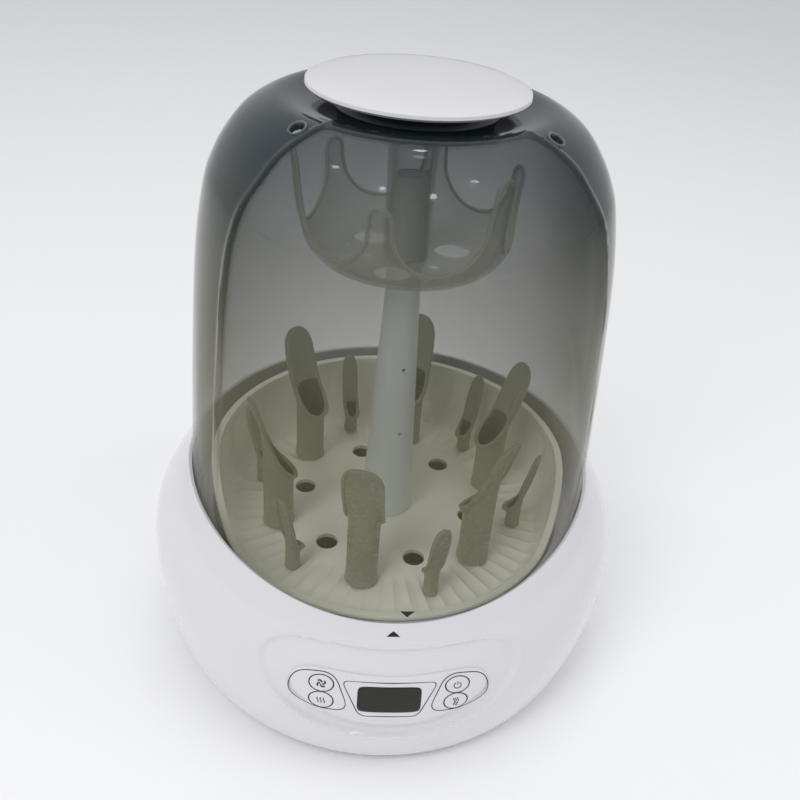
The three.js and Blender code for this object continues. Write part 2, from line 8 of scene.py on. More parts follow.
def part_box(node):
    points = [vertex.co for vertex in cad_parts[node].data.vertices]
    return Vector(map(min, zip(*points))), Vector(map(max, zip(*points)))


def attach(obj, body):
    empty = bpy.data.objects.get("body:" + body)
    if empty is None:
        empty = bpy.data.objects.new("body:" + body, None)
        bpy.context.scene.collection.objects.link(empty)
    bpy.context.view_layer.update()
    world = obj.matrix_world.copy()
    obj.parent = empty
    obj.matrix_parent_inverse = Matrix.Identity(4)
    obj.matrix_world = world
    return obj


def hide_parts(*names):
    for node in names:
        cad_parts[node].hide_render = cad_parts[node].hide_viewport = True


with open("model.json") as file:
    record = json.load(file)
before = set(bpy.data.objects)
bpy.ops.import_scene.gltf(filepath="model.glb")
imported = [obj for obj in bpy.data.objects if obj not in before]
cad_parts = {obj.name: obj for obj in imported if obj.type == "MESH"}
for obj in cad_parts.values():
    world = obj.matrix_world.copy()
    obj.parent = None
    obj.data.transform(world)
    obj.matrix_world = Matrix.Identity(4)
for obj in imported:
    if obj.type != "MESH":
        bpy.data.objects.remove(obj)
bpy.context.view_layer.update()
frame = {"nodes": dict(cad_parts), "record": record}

bl_info = {
    "name": "Bottle steriliser",
    "version": (1, 0, 0),
    "blender": (4, 5, 0),
    "location": "View3D > Sidebar > Steriliser",
    "description": "Builds the visible surfaces of a steam steriliser round its packed model",
    "category": "Object",
}

MM = 0.001

# Outline of the base in millimetres, bottom to rim: reach and height at the front, and at the side.
BASE_ROWS = [
    (133, 3, 133, 3),
    (140.5, 16, 143.5, 18),
    (146, 38, 150.8, 45),
    (147, 58, 154, 72),
    (144, 78, 154, 94),
    (139.5, 96, 149.5, 114),
    (134, 111, 140, 132),
    (129.8, 119.3, 130.4, 144.7),
]
HOUSING_WALL = 3
HOUSING_SIDES = 540
SEAT_RADIUS, SEAT_HEIGHT = 127.6, 108
WELL_RADIUS, WELL_FLOOR, DISH_RADIUS = 116, 85, 94

# Outer profile of the dome, from its foot up to the recess under the cap.
DOME_PROFILE = [
    (126.8, 108.3), (126.8, 150), (121.9, 230), (116.9, 290), (111, 325), (105.7, 340), (98.6, 352),
    (90.1, 362), (79.2, 369), (70, 371.2), (56, 368.6), (44, 368.2), (41, 374.6),
]
DOME_WALL = 2.5
DOME_SIDES = 360
# Half-width in degrees of the arched front face at each height, and its step above the rest.
ARCH_EDGE = [(150, 59.5), (269, 57.5), (312, 56.8), (326, 55.5), (338, 53.9), (347, 51.7), (357, 49.9),
             (363.5, 47.6), (369.5, 44.7), (372, 43)]
ARCH_STEP, ARCH_TOP_RADIUS = 0.9, 61
VENT_RING, VENT_AZIMUTH, VENT_RADIUS = 79.5, 50.7, 3.2
CAP_RADIUS, CAP_LOW, CAP_TOP = 58.4, 374.9, 383.4

LID_TURN, RACK_TURN, TRAY_TURN = 3, -13.3, -17
RACK_FLOOR, RACK_UNDER, RACK_RADIUS, RACK_FLANGE = 98.8, 96, 113.8, 115.4
# Height of the rack's wall against the distance behind its middle: it falls away at the front.
RACK_FALL = [(-84, 104), (-70, 106), (-56, 113), (-36, 127), (-14, 141), (4, 145.5)]
DRAIN_RING, DRAIN_RADIUS, DRAIN_CUT = 57.3, 7, (88, 110)
LEG_PLACE, LEG_HALF = (0, -107, 91), (6, 2.5, 5.6)
PEG_FOOT = RACK_FLOOR + 0.3
# Painted shade down a peg's bore: the share of its colour kept there, for the little light that reaches
# down it.
BORE_PAINTED_LIGHT = 0.3
MAST_TOP, TRAY_SHELF = 332, 280

PANEL_TILT = math.radians(18)
PANEL_POINT = Vector((0, -144.5, 74))
PANEL_UP = Vector((0, math.sin(PANEL_TILT), math.cos(PANEL_TILT)))
PANEL_OUT = Vector((0, -math.cos(PANEL_TILT), math.sin(PANEL_TILT)))
RECESS_HALF = [(0, 33), (24, 34.6), (46, 37), (62, 36.5), (73, 30), (77.6, 19), (73.5, 3.5), (63, -12),
               (46, -24.5), (24, -31), (0, -32.6)]
RECESS_REACH = (90, 46)
RECESS_DEPTH, TROUGH_DEPTH, RECESS_LIP = 1.8, 3.0, 0.4
OVERLAY_HALF = [(0, 15), (20, 16.4), (38, 18.4), (51, 18.4), (58.8, 10.6), (54.8, -2), (42, -12),
                (24, -16.4), (0, -17.6)]
DISPLAY_FRAME = [(-28, 11.6), (28, 11.6), (17.2, -13.6), (-17.2, -13.6)]
SIDE_FRAME = [(55.5, 15.4), (31.8, 17.2), (22.6, -10.6), (47, -11), (60.5, -2)]
BUTTONS = {"fan": (-39.2, 8), "steam": (-39.2, -4.2), "power": (39.2, 8), "cycle": (39.2, -4.2)}
BUTTON_HALF = (6.7, 5.5)
DISPLAY_HALF, DISPLAY_CENTRE = (18.5, 9.3), (0, -0.8)
PANEL_PRINT, ICON_PRINT, MARK_PRINT = 1.02, 1.5, 0.12
BUTTON_PLAY, WELL_DEPTH, WELL_TOP = 0.3, 16, 20
# Heights of the arrow on the base, above the panel's middle, and its width at each.
BASE_ARROW = [(41.6, 7.5), (43.2, 4.0), (44.7, 0.2)]
LID_ARROW_FOOT, LID_ARROW_TALL, LID_ARROW_X = 123.3, 4.6, 7.2
FILTER_HEIGHT = 56
GLAND_HEIGHT, GLAND_SEAT = 20, 140.6


# ------------------------------------------------------------------ settings shown in the panel
class SteriliserSizes(bpy.types.PropertyGroup):
    peg_wall: bpy.props.FloatProperty(
        name="Peg wall", description="Thickness of a peg's wall", default=1.9 * MM, unit="LENGTH")
    flute_depth: bpy.props.FloatProperty(
        name="Flute depth", description="Depth of the flutes round the rack floor",
        default=1.3 * MM, unit="LENGTH")
    flutes: bpy.props.IntProperty(
        name="Flutes", description="Number of flutes round the rack floor", default=60)
    print_width: bpy.props.FloatProperty(
        name="Print width", description="Width of the printed lines on the panel",
        default=0.55 * MM, unit="LENGTH")
    floor_size: bpy.props.FloatProperty(
        name="Floor size", description="Side of the floor", default=12.0, unit="LENGTH")


def colour_property(name, description, code):
    return bpy.props.FloatVectorProperty(
        name=name, description=description, subtype="COLOR", size=3, min=0, max=1, default=srgb(code))


def srgb(code):
    """An sRGB hex colour as linear red, green and blue."""
    parts = [int(code[i:i + 2], 16) / 255 for i in (1, 3, 5)]
    return tuple(c / 12.92 if c <= 0.04045 else ((c + 0.055) / 1.055) ** 2.4 for c in parts)


class SteriliserColours(bpy.types.PropertyGroup):
    gloss_white: colour_property("Gloss white", "Housing, cap and panel", "#DCDBE0")
    smoke: colour_property("Smoke", "Tint of the dome", "#55522F")
    # painted dark reflection: the colour the dome is painted towards near its cap
    dark_top_painted_reflection: colour_property("Painted dark top", "Painted dark reflection near the dome's cap", "#263136")
    olive: colour_property("Olive", "Pegs", "#9A9C88")
    rack: colour_property("Rack", "Tray that the pegs stand in", "#F5F6E8")
    mast: colour_property("Mast", "Central mast", "#E6ECEA")
    tray: colour_property("Upper tray", "Clear upper tray", "#CFD0B8")
    display: colour_property("Display", "Display behind its window", "#1F2119")
    ink: colour_property("Ink", "Printing on the panel", "#17171A")
    floor: colour_property("Floor", "Plain floor", "#FBFBFB")


# ------------------------------------------------------------------ small geometry tools
def smoothstep(low, high, value):
    share = min(1.0, max(0.0, (value - low) / (high - low)))
    return share * share * (3 - 2 * share)


def interpolate(table, key):
    """The value at key in a table of (key, value) pairs sorted by key."""
    if key <= table[0][0]:
        return table[0][1]
    for (k0, v0), (k1, v1) in zip(table, table[1:]):
        if key <= k1:
            return v0 + (v1 - v0) * (key - k0) / (k1 - k0)
    return table[-1][1]


def smooth_through(points, steps):
    """Samples of a smooth curve through points of any number of coordinates."""
    samples = []
    last = len(points) - 1
    for i in range(last):
        p0, p1, p2, p3 = (points[min(max(i + k, 0), last)] for k in (-1, 0, 1, 2))
        for step in range(steps):
            t = step / steps
            samples.append(tuple(
                0.5 * (2 * b + (c - a) * t + (2 * a - 5 * b + 4 * c - d) * t * t
                       + (3 * b - a - 3 * c + d) * t ** 3)
                for a, b, c, d in zip(p0, p1, p2, p3)))
    return samples + [tuple(points[-1])]


def rounded(corners, times=3):
    """A closed outline with its corners cut again and again until it is round."""
    for _ in range(times):
        cut = []
        for a, b in zip(corners, corners[1:] + corners[:1]):
            cut.append((a[0] * 0.75 + b[0] * 0.25, a[1] * 0.75 + b[1] * 0.25))
            cut.append((a[0] * 0.25 + b[0] * 0.75, a[1] * 0.25 + b[1] * 0.75))
        corners = cut
    return corners


def filleted(corners, reach, steps=6):
    """A closed outline whose corners are rounded over a length in millimetres."""
    soft = []
    for before, corner, after in zip(corners[-1:] + corners[:-1], corners, corners[1:] + corners[:1]):
        ends = []
        for other in (before, after):
            length = math.dist(corner, other)
            share = min(reach, length / 2) / length
            ends.append([c + (o - c) * share for c, o in zip(corner, other)])
        for i in range(steps + 1):
            s = i / steps
            soft.append(tuple((1 - s) ** 2 * a + 2 * s * (1 - s) * c + s * s * b
                              for a, c, b in zip(ends[0], corner, ends[1])))
    return soft


def mirrored(half):
    return half + [(-x, y) for x, y in half[-2:0:-1]]


def polar(radius, azimuth, height):
    """A point in metres. The azimuth is in radians from the front towards +X."""
    return Vector((radius * math.sin(azimuth), -radius * math.cos(azimuth), height)) * MM


def turned_z(degrees):
    return Matrix.Rotation(math.radians(degrees), 4, "Z")


class Outline:
    """A closed outline seen from its middle."""

    def __init__(self, points, centre=None):
        xs, ys = zip(*points)
        self.centre = centre or ((min(xs) + max(xs)) / 2, (min(ys) + max(ys)) / 2)
        self.points = points

    def reach(self, angle):
        dx, dy = math.cos(angle), math.sin(angle)
        cx, cy = self.centre
        best = 0
        for (ax, ay), (bx, by) in zip(self.points, self.points[1:] + self.points[:1]):
            ex, ey = bx - ax, by - ay
            across = dx * ey - dy * ex
            if abs(across) < 1e-9:
                continue
            along = ((ax - cx) * ey - (ay - cy) * ex) / across
            side = ((ax - cx) * dy - (ay - cy) * dx) / across
            if -1e-6 <= side <= 1 + 1e-6 and along > best:
                best = along
        return best

    def share(self, x, y):
        """0 in the middle, 1 on the outline."""
        x, y = x - self.centre[0], y - self.centre[1]
        return math.hypot(x, y) / max(self.reach(math.atan2(y, x)), 1e-6)


def ellipse(centre, half_width, half_height, count=72):
    angles = [2 * math.pi * i / count for i in range(count)]
    return [(centre[0] + half_width * math.cos(a), centre[1] + half_height * math.sin(a)) for a in angles]


def block_outline(centre, half_width, half_height):
    signs = ((-1, -1), (1, -1), (1, 1), (-1, 1))
    corners = [(centre[0] + a * half_width, centre[1] + b * half_height) for a, b in signs]
    squared = []
    for a, b in zip(corners, corners[1:] + corners[:1]):
        for share in (0.08, 0.5, 0.92):
            squared.append((a[0] + (b[0] - a[0]) * share, a[1] + (b[1] - a[1]) * share))
    return rounded(squared, 2)


# ------------------------------------------------------------------ modelling tools
def deselect_all():
    if bpy.context.object and bpy.context.object.mode != "OBJECT":
        bpy.ops.object.mode_set(mode="OBJECT")
    bpy.ops.object.select_all(action="DESELECT")


def activate(piece):
    deselect_all()
    piece.select_set(True)
    bpy.context.view_layer.objects.active = piece


def ring_stack(name, sides, count):
    """A tube of rings, one unit apart, drawn up from a circle. settle() gives each ring its place."""
    deselect_all()
    bpy.ops.mesh.primitive_circle_add(vertices=sides, radius=1, fill_type="NOTHING")
    piece = bpy.context.object
    piece.name = piece.data.name = name
    bpy.ops.object.mode_set(mode="EDIT")
    bpy.ops.mesh.select_all(action="SELECT")
    for _ in range(count - 1):
        bpy.ops.mesh.extrude_edges_move(TRANSFORM_OT_translate={"value": (0, 0, 1)})
    bpy.ops.object.mode_set(mode="OBJECT")
    return piece


def settle(piece, place):
    """Moves each vertex to place(ring, angle), in metres, and closes seams and poles."""
    for vertex in piece.data.vertices:
        ring, angle = round(vertex.co.z), math.atan2(vertex.co.y, vertex.co.x)
        vertex.co = place(ring, angle)
    tidy(piece)
    return piece


def tidy(piece):
    activate(piece)
    bpy.ops.object.mode_set(mode="EDIT")
    bpy.ops.mesh.select_all(action="SELECT")
    bpy.ops.mesh.remove_doubles(threshold=0.00001)
    bpy.ops.mesh.normals_make_consistent(inside=False)
    bpy.ops.object.mode_set(mode="OBJECT")


def turned(name, profile, sides=96):
    """A piece turned about +Z from [radius, height] pairs."""
    piece = ring_stack(name, sides, len(profile))
    return settle(piece, lambda ring, angle: polar(profile[ring][0], angle, profile[ring][1]))


def bead(name, path, radius, count, away):
    """A thin closed cord of a radius in millimetres along path(angle). away is a point in metres that
    its cross-section is squared to."""
    turns = 8
    piece = ring_stack(name, count, turns + 1)
    step = 2 * math.pi / count

    def place(ring, angle):
        middle = path(angle)
        along = (path(angle + step) - path(angle - step)).normalized()
        side = (middle - away).cross(along).normalized()
        up = along.cross(side)
        around = 2 * math.pi * ring / turns
        return middle + (side * math.cos(around) + up * math.sin(around)) * radius * MM

    return settle(piece, place)


def grommet(name, place, facing, radius, thickness):
    """A raised ring round a hole, lying across the direction it faces. Sizes in millimetres."""
    deselect_all()
    bpy.ops.mesh.primitive_torus_add(major_segments=40, minor_segments=10, major_radius=radius * MM,
                                     minor_radius=thickness * MM)
    piece = bpy.context.object
    piece.name = piece.data.name = name
    turn = facing.to_track_quat("Z", "Y").to_matrix().to_4x4()
    piece.data.transform(Matrix.Translation(place) @ turn)
    return piece


def use(piece, kind, **settings):
    """Adds a modifier, sets it and applies it."""
    activate(piece)
    modifier = piece.modifiers.new(kind.title(), kind)
    for key, value in settings.items():
        setattr(modifier, key, value)
    bpy.ops.object.modifier_apply(modifier=modifier.name)
    return piece


def soften(piece, width, segments=2, angle=30):
    return use(piece, "BEVEL", width=width * MM, segments=segments, limit_method="ANGLE",
               angle_limit=math.radians(angle))


def carve(piece, *cutters):
    """Cuts closed pieces out of another one and throws them away."""
    for cutter in cutters:
        use(piece, "BOOLEAN", operation="DIFFERENCE", solver="EXACT", object=cutter)
        bpy.data.objects.remove(cutter)
    return piece


def join(pieces):
    activate(pieces[0])
    for piece in pieces[1:]:
        piece.select_set(True)
    bpy.ops.object.join()
    return pieces[0]


def rod(start, end, radius, sides=32):
    """A straight cutter between two points in metres."""
    deselect_all()
    along = end - start
    bpy.ops.mesh.primitive_cylinder_add(vertices=sides, radius=radius * MM, depth=along.length)
    piece = bpy.context.object
    turn = along.to_track_quat("Z", "Y").to_matrix().to_4x4()
    piece.data.transform(Matrix.Translation((start + end) / 2) @ turn)
    return piece


def oblong(centre, half_sizes, turn=0):
    """A box in metres about a centre, turned about +Z by some degrees."""
    deselect_all()
    bpy.ops.mesh.primitive_cube_add(size=2)
    piece = bpy.context.object
    scale = Matrix.Diagonal((*[h * MM for h in half_sizes], 1))
    piece.data.transform(turned_z(turn) @ Matrix.Translation(Vector(centre) * MM) @ scale)
    return piece


def turn_mesh(piece, degrees):
    piece.data.transform(turned_z(degrees))
    return piece


def done(piece, body, slot, *replaced, finish=None, angle=40):
    """Shades a finished piece, gives it its material and makes it ride on its body. The material goes
    by the slot's name unless finish names another."""
    activate(piece)
    bpy.ops.object.shade_smooth_by_angle(angle=math.radians(angle))
    piece.data.materials.clear()
    piece.data.materials.append(MATERIALS[finish or slot])
    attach(piece, body)
    if replaced:
        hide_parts(*replaced)
    return piece


def on_surface(target, origin, direction, lift):
    """The point of a surface that a ray meets, lifted back along the ray. All in metres."""
    hit, place, _, _ = target.ray_cast(origin, direction)
    if not hit:
        raise RuntimeError(f"nothing of {target.name} lies behind {tuple(origin)}")
    return place - direction * lift * MM


def panel_seat(target):
    """How a place on the control panel, in millimetres, becomes a point on the housing."""
    def seat(x, up, lift):
        origin = (PANEL_POINT + Vector((x, 0, 0)) + PANEL_UP * up + PANEL_OUT * 60) * MM
        return on_surface(target, origin, -PANEL_OUT, lift)
    return seat


def rear_seat(target):
    """The same for the back, where x runs to the left as seen from behind."""
    def seat(x, up, lift):
        return on_surface(target, Vector((x, 200, up)) * MM, Vector((0, -1, 0)), lift)
    return seat


def plate(name, points, seat, low, high, rim=0.35, sides=120, rings=9, centre=None, crown=0):
    """A closed plate that follows the surface it lies on, with a rounded edge."""
    outline = Outline(points, centre)
    reaches = [outline.reach(2 * math.pi * i / sides) for i in range(sides)]
    inner = [1 - (ring + 1) / rings for ring in range(rings)]
    layers = [(0, 0, low), (1, 0, low), (1, 0, high - rim), (1, -0.3 * rim, high - 0.3 * rim),
              (1, -rim, high)]
    layers += [(share, -rim * share, high + crown * (1 - share * share)) for share in inner]
    piece = ring_stack(name, sides, len(layers))

    def place(ring, angle):
        share, grow, lift = layers[ring]
        reach = reaches[round(angle / (2 * math.pi) * sides) % sides]
        distance = max(reach * share + grow * (share > 0), 0)
        x = outline.centre[0] + distance * math.cos(angle)
        y = outline.centre[1] + distance * math.sin(angle)
        return seat(x, y, lift)

    return settle(piece, place)


def outline_print(name, points, seat, width, lift, sides=144, centre=None):
    """A printed line along a closed outline."""
    outline = Outline(points, centre)
    piece = ring_stack(name, sides, 5)
    layers = [(0, 0), (0, 1), (-width, 1), (-width, 0), (0, 0)]

    def place(ring, angle):
        grow, raised = layers[ring]
        distance = outline.reach(angle) + grow
        x = outline.centre[0] + distance * math.cos(angle)
        y = outline.centre[1] + distance * math.sin(angle)
        return seat(x, y, lift + 0.1 * raised)

    return settle(piece, place)


def stroke(points, width, seat, lift):
    """A printed line along an open path."""
    deselect_all()
    bpy.ops.mesh.primitive_grid_add(x_subdivisions=len(points) - 1, y_subdivisions=1, size=1)
    piece = bpy.context.object
    last = len(points) - 1
    for vertex in piece.data.vertices:
        index = round((vertex.co.x + 0.5) * last)
        (ax, ay), (bx, by) = points[max(index - 1, 0)], points[min(index + 1, last)]
        length = max(math.hypot(bx - ax, by - ay), 1e-6)
        side = width * (0.5 if vertex.co.y > 0 else -0.5)
        x = points[index][0] - (by - ay) / length * side
        y = points[index][1] + (bx - ax) / length * side
        vertex.co = seat(x, y, lift)
    return use(piece, "SOLIDIFY", thickness=0.1 * MM, offset=0)


# ------------------------------------------------------------------ materials
def node(tree, kind, settings=None, **links):
    """Adds a node, sets its properties and input values, and links inputs that are given sockets."""
    made = tree.nodes.new(kind)
    for key, value in (settings or {}).items():
        if isinstance(key, str) and hasattr(made, key):
            setattr(made, key, value)
        else:
            made.inputs[key].default_value = value
    for key, socket in links.items():
        tree.links.new(socket, made.inputs[int(key) if key.isdigit() else key.replace("_", " ")])
    return made


def blank(name):
    made = bpy.data.materials.new(name)
    made.use_nodes = True
    tree = made.node_tree
    tree.nodes.clear()
    return made, tree


def moulded(name, colour, roughness=0.3, grain=1.2, bump=0.04, mottle=0.03, coat=0.0, metallic=0.0,
            stretch=(1, 1, 1), ior=1.5, sheen=0.0, light=None):
    """A surface with fine grain of a size in millimetres, faint mottling and uneven gloss. light names an
    attribute that scales the colour: painted shade where little light gets to a place."""
    made, tree = blank(name)
    place = node(tree, "ShaderNodeTexCoord").outputs["Object"]
    mapped = node(tree, "ShaderNodeMapping", {"Scale": stretch}, Vector=place).outputs[0]
    fine = node(tree, "ShaderNodeTexNoise", {"Scale": 1 / (grain * MM), "Detail": 3}, Vector=mapped)
    broad = node(tree, "ShaderNodeTexNoise", {"Scale": 1 / (45 * MM), "Detail": 2}, Vector=place)
    shift = node(tree, "ShaderNodeMapRange", {"To Min": 1 - mottle, "To Max": 1 + mottle},
                 Value=broad.outputs[0]).outputs[0]
    if light:
        # painted shade: the attribute darkens the colour
        reach = node(tree, "ShaderNodeAttribute", {"attribute_name": light}).outputs["Fac"]
        shift = node(tree, "ShaderNodeMath", {"operation": "MULTIPLY"},
                     **{"0": shift, "1": reach}).outputs[0]
    surface_colour = node(tree, "ShaderNodeHueSaturation", {"Color": (*colour, 1)}, Value=shift)
    gloss = node(tree, "ShaderNodeMapRange", {"To Min": roughness * 0.8, "To Max": roughness * 1.25},
                 Value=fine.outputs[0])
    raised = node(tree, "ShaderNodeBump", {"Strength": bump, "Distance": 0.1 * MM},
                  Height=fine.outputs[0])
    shader = node(tree, "ShaderNodeBsdfPrincipled",
                  {"Metallic": metallic, "Coat Weight": coat, "Coat Roughness": 0.06,
                   "Sheen Weight": sheen, **({} if metallic else {"IOR": ior})},
                  Base_Color=surface_colour.outputs[0], Roughness=gloss.outputs[0], Normal=raised.outputs[0])
    node(tree, "ShaderNodeOutputMaterial", Surface=shader.outputs[0])
    return made


def clear_plastic(name, colour, thin, dense, roughness=0.06, painted_darkening=None, painted_dark_colour=None):
    """Clear tinted plastic. A glancing view meets more of it. An optional list of (height in millimetres,
    share added) paints it denser and darker towards the top, a painted dark reflection, and adds the
    arch's painted shade."""
    made, tree = blank(name)
    place = node(tree, "ShaderNodeTexCoord").outputs["Object"]
    flow = node(tree, "ShaderNodeTexNoise", {"Scale": 1 / (30 * MM), "Detail": 2}, Vector=place)
    gloss = node(tree, "ShaderNodeMapRange", {"To Min": roughness * 0.6, "To Max": roughness * 1.6},
                 Value=flow.outputs[0])
    raised = node(tree, "ShaderNodeBump", {"Strength": 0.05, "Distance": 1 * MM},
                  Height=flow.outputs[0])
    glancing = node(tree, "ShaderNodeLayerWeight", {"Blend": 0.25})
    cover = node(tree, "ShaderNodeMapRange", {"To Min": thin, "To Max": dense},
                 Value=glancing.outputs["Facing"]).outputs[0]
    shader = node(tree, "ShaderNodeBsdfPrincipled", {"IOR": 1.5, "Base Color": (*colour, 1)},
                  Roughness=gloss.outputs[0], Normal=raised.outputs[0])
    if painted_darkening:
        height = node(tree, "ShaderNodeSeparateXYZ", Vector=place).outputs["Z"]
        # painted shade stored along the dome's arch, then painted darkening that grows with height
        shares = [node(tree, "ShaderNodeAttribute", {"attribute_name": "arch_painted_shade"}).outputs["Fac"]]
        for (low, before), (high, after) in zip(painted_darkening, painted_darkening[1:]):
            shares.append(node(tree, "ShaderNodeMapRange",
                               {"From Min": low * MM, "From Max": high * MM, "To Min": 0,
                                "To Max": after - before}, Value=height).outputs[0])
        for share in shares:
            cover = node(tree, "ShaderNodeMath", {"operation": "ADD", "use_clamp": True},
                         **{"0": cover, "1": share}).outputs[0]
        # the colour also shifts darker towards the top: painted dark reflection
        climb = node(tree, "ShaderNodeMapRange", {"From Min": 0.22, "From Max": 0.36}, Value=height)
        surface_colour = node(tree, "ShaderNodeMix", {"data_type": "RGBA", 6: (*colour, 1), 7: (*painted_dark_colour, 1)},
                    Factor=climb.outputs[0])
        tree.links.new(surface_colour.outputs[2], shader.inputs["Base Color"])
    tree.links.new(cover, shader.inputs["Alpha"])
    node(tree, "ShaderNodeOutputMaterial", Surface=shader.outputs[0])
    return made


MATERIALS = {}


def make_materials(colours):
    add = MATERIALS.__setitem__
    # Injection-moulded ABS from a polished tool: a deep, even gloss with the faintest ripple.
    add("white_gloss", moulded("white_abs_polished", colours.gloss_white, 0.14, 4, 0.02, 0.01, coat=0.5))
    # The same plastic from a spark-eroded tool: dull, with a fine even grain.
    add("white_satin", moulded("white_abs_textured", srgb("#D4D3D6"), 0.5, 0.5, 0.3, 0.02))
    # Moulded SMOKE SAN: clear, water-smooth, grey-green, reading darker where more of it is in line.
    # Towards its cap it is painted denser and darker, a painted dark reflection; its real tint is even.
    add("smoke_clear", clear_plastic(
        "smoke_san_clear", colours.smoke, 0.08, 0.5, 0.05,
        painted_darkening=[(120, 0), (180, 0.1), (250, 0.22), (335, 0.26), (368, 0.33)],
        painted_dark_colour=colours.dark_top_painted_reflection))
    add("vent_clear", clear_plastic("smoke_san_lip", srgb("#8A9190"), 0.25, 0.7, 0.08))
    add("smoke_dark", moulded("smoke_san_solid", srgb("#39433F"), 0.16, 3, 0.03))
    # Moulded polypropylene: slightly waxy, softer highlights than ABS.
    add("rack_grey", moulded("polypropylene_pale_grey", colours.rack, 0.2, 2, 0.05, 0.03, ior=1.49))
    # Pegs: their bores are darkened by painted shade.
    add("peg_olive", moulded("polypropylene_olive", colours.olive, 0.26, 2, 0.05, 0.04, ior=1.49,
                             light="bore_painted_light"))
    add("mast_white", moulded("polypropylene_blue_white", colours.mast, 0.32, 2, 0.05, 0.02, ior=1.49))
    # Clear polypropylene: cloudy, yellowish, with bright edges.
    add("tray_clear", clear_plastic("polypropylene_clear", colours.tray, 0.2, 0.75, 0.12))
    # The same plastic along a moulded edge, where more of it is in line; its paler colour is a painted
    # highlight where the edge gathers light.
    add("tray_edge", clear_plastic("polypropylene_clear_edge_painted_highlight", srgb("#DFE0CC"), 0.5, 0.9, 0.14))
    # Moulded silicone and rubber: matt, with a dusty bloom.
    add("silicone", moulded("silicone_white", srgb("#DAD9D4"), 0.6, 0.8, 0.1, sheen=0.1))
    add("dark_rubber", moulded("rubber_dark", srgb("#3A3A3C"), 0.8, 0.6, 0.35, 0.06, sheen=0.15))
    add("grey_rubber", moulded("rubber_grey", srgb("#9A9A9C"), 0.7, 0.6, 0.3, 0.05, sheen=0.1))
    # Pressed stainless sheet with a brushed grain running one way.
    add("stainless", moulded("stainless_brushed", srgb("#C9CACC"), 0.26, 0.6, 0.25, 0.02, metallic=1,
                             stretch=(1, 0.04, 1)))
    # Zinc-plated steel, as on screws and clips: slightly uneven and cold in colour.
    add("screw_steel", moulded("steel_zinc_plated", srgb("#B8B8BC"), 0.32, 0.8, 0.1, 0.05, metallic=1))
    add("zinc_steel", moulded("steel_zinc_sheet", srgb("#B0B2B5"), 0.4, 2, 0.1, 0.06, metallic=1))
    # Steel element sheath, tinted brown by heat.
    add("element_sheath", moulded("steel_heat_tinted", srgb("#77706A"), 0.45, 1, 0.2, 0.14, metallic=1))
    add("motor_steel", moulded("steel_drawn", srgb("#9B9DA0"), 0.35, 0.7, 0.12, metallic=1))
    add("heater_fins", moulded("aluminium_extruded", srgb("#A7A29A"), 0.5, 0.6, 0.2, metallic=1,
                               stretch=(1, 1, 0.05)))
    add("black_plastic", moulded("nylon_black", srgb("#2A2A2C"), 0.5, 0.5, 0.25, 0.05))
    add("duct_grey", moulded("nylon_grey", srgb("#8F9194"), 0.55, 0.5, 0.25, 0.04))
    # Fired ceramic: chalky and slightly speckled.
    add("fuse_ceramic", moulded("ceramic_unglazed", srgb("#D9D2C0"), 0.65, 0.4, 0.2, 0.06))
    # Solder mask over copper: glossy green with a slight relief.
    add("board_green", moulded("solder_mask_green", srgb("#2F6B45"), 0.3, 1.5, 0.15, 0.08, coat=0.3))
    # Liquid crystal behind glass: a dark olive that goes nearly black.
    add("display_dark", moulded("display_olive", colours.display, 0.3, 0.6, 0.03, 0.04))
    add("window_smoke", moulded("display_glass_olive", colours.display, 0.22, 6, 0.01, 0.05, ior=1.4))
    # Pleated paper: a soft white with fibres.
    add("filter_paper", moulded("paper_pleated", srgb("#F2F1EA"), 0.95, 0.4, 0.6, 0.03,
                                stretch=(0.2, 1, 1), sheen=0.2))
    # Screen-printed ink: a thin, slightly glossy film.
    add("ink", moulded("ink_printed", colours.ink, 0.6, 0.6, 0.05, 0.05))


# ------------------------------------------------------------------ surfaces of the base
RECESS = Outline(rounded(mirrored(RECESS_HALF), 2))


def skin_point(row, azimuth, inset=0):
    """A point in millimetres on the outer skin of the base, at one of its rows."""
    front_reach, front_height, side_reach, side_height = row
    forward = math.cos(azimuth)
    reach = side_reach + (front_reach - side_reach) * forward ** 2 - inset
    dip = forward ** 2 if forward > 0 else 0
    height = side_height + (front_height - side_height) * dip
    return Vector((reach * math.sin(azimuth), -reach * forward, height))


def dished(point):
    """Presses the panel's recess into the skin: a soft edge, and deeper towards the bottom."""
    offset = point - PANEL_POINT
    x, up = offset.x, offset.dot(PANEL_UP)
    if point.y > 0 or abs(x) > RECESS_REACH[0] or abs(up - 2) > RECESS_REACH[1]:
        return point
    share = RECESS.share(x, up)
    inside = smoothstep(0, 0.055, 1 - share)
    lip = math.exp(-((share - 1.02) / 0.022) ** 2)
    trough = math.exp(-((share - 0.84) / 0.12) ** 2) * (1 - smoothstep(-22, 10, up))
    return point - PANEL_OUT * (inside * (RECESS_DEPTH + TROUGH_DEPTH * trough) - RECESS_LIP * lip)


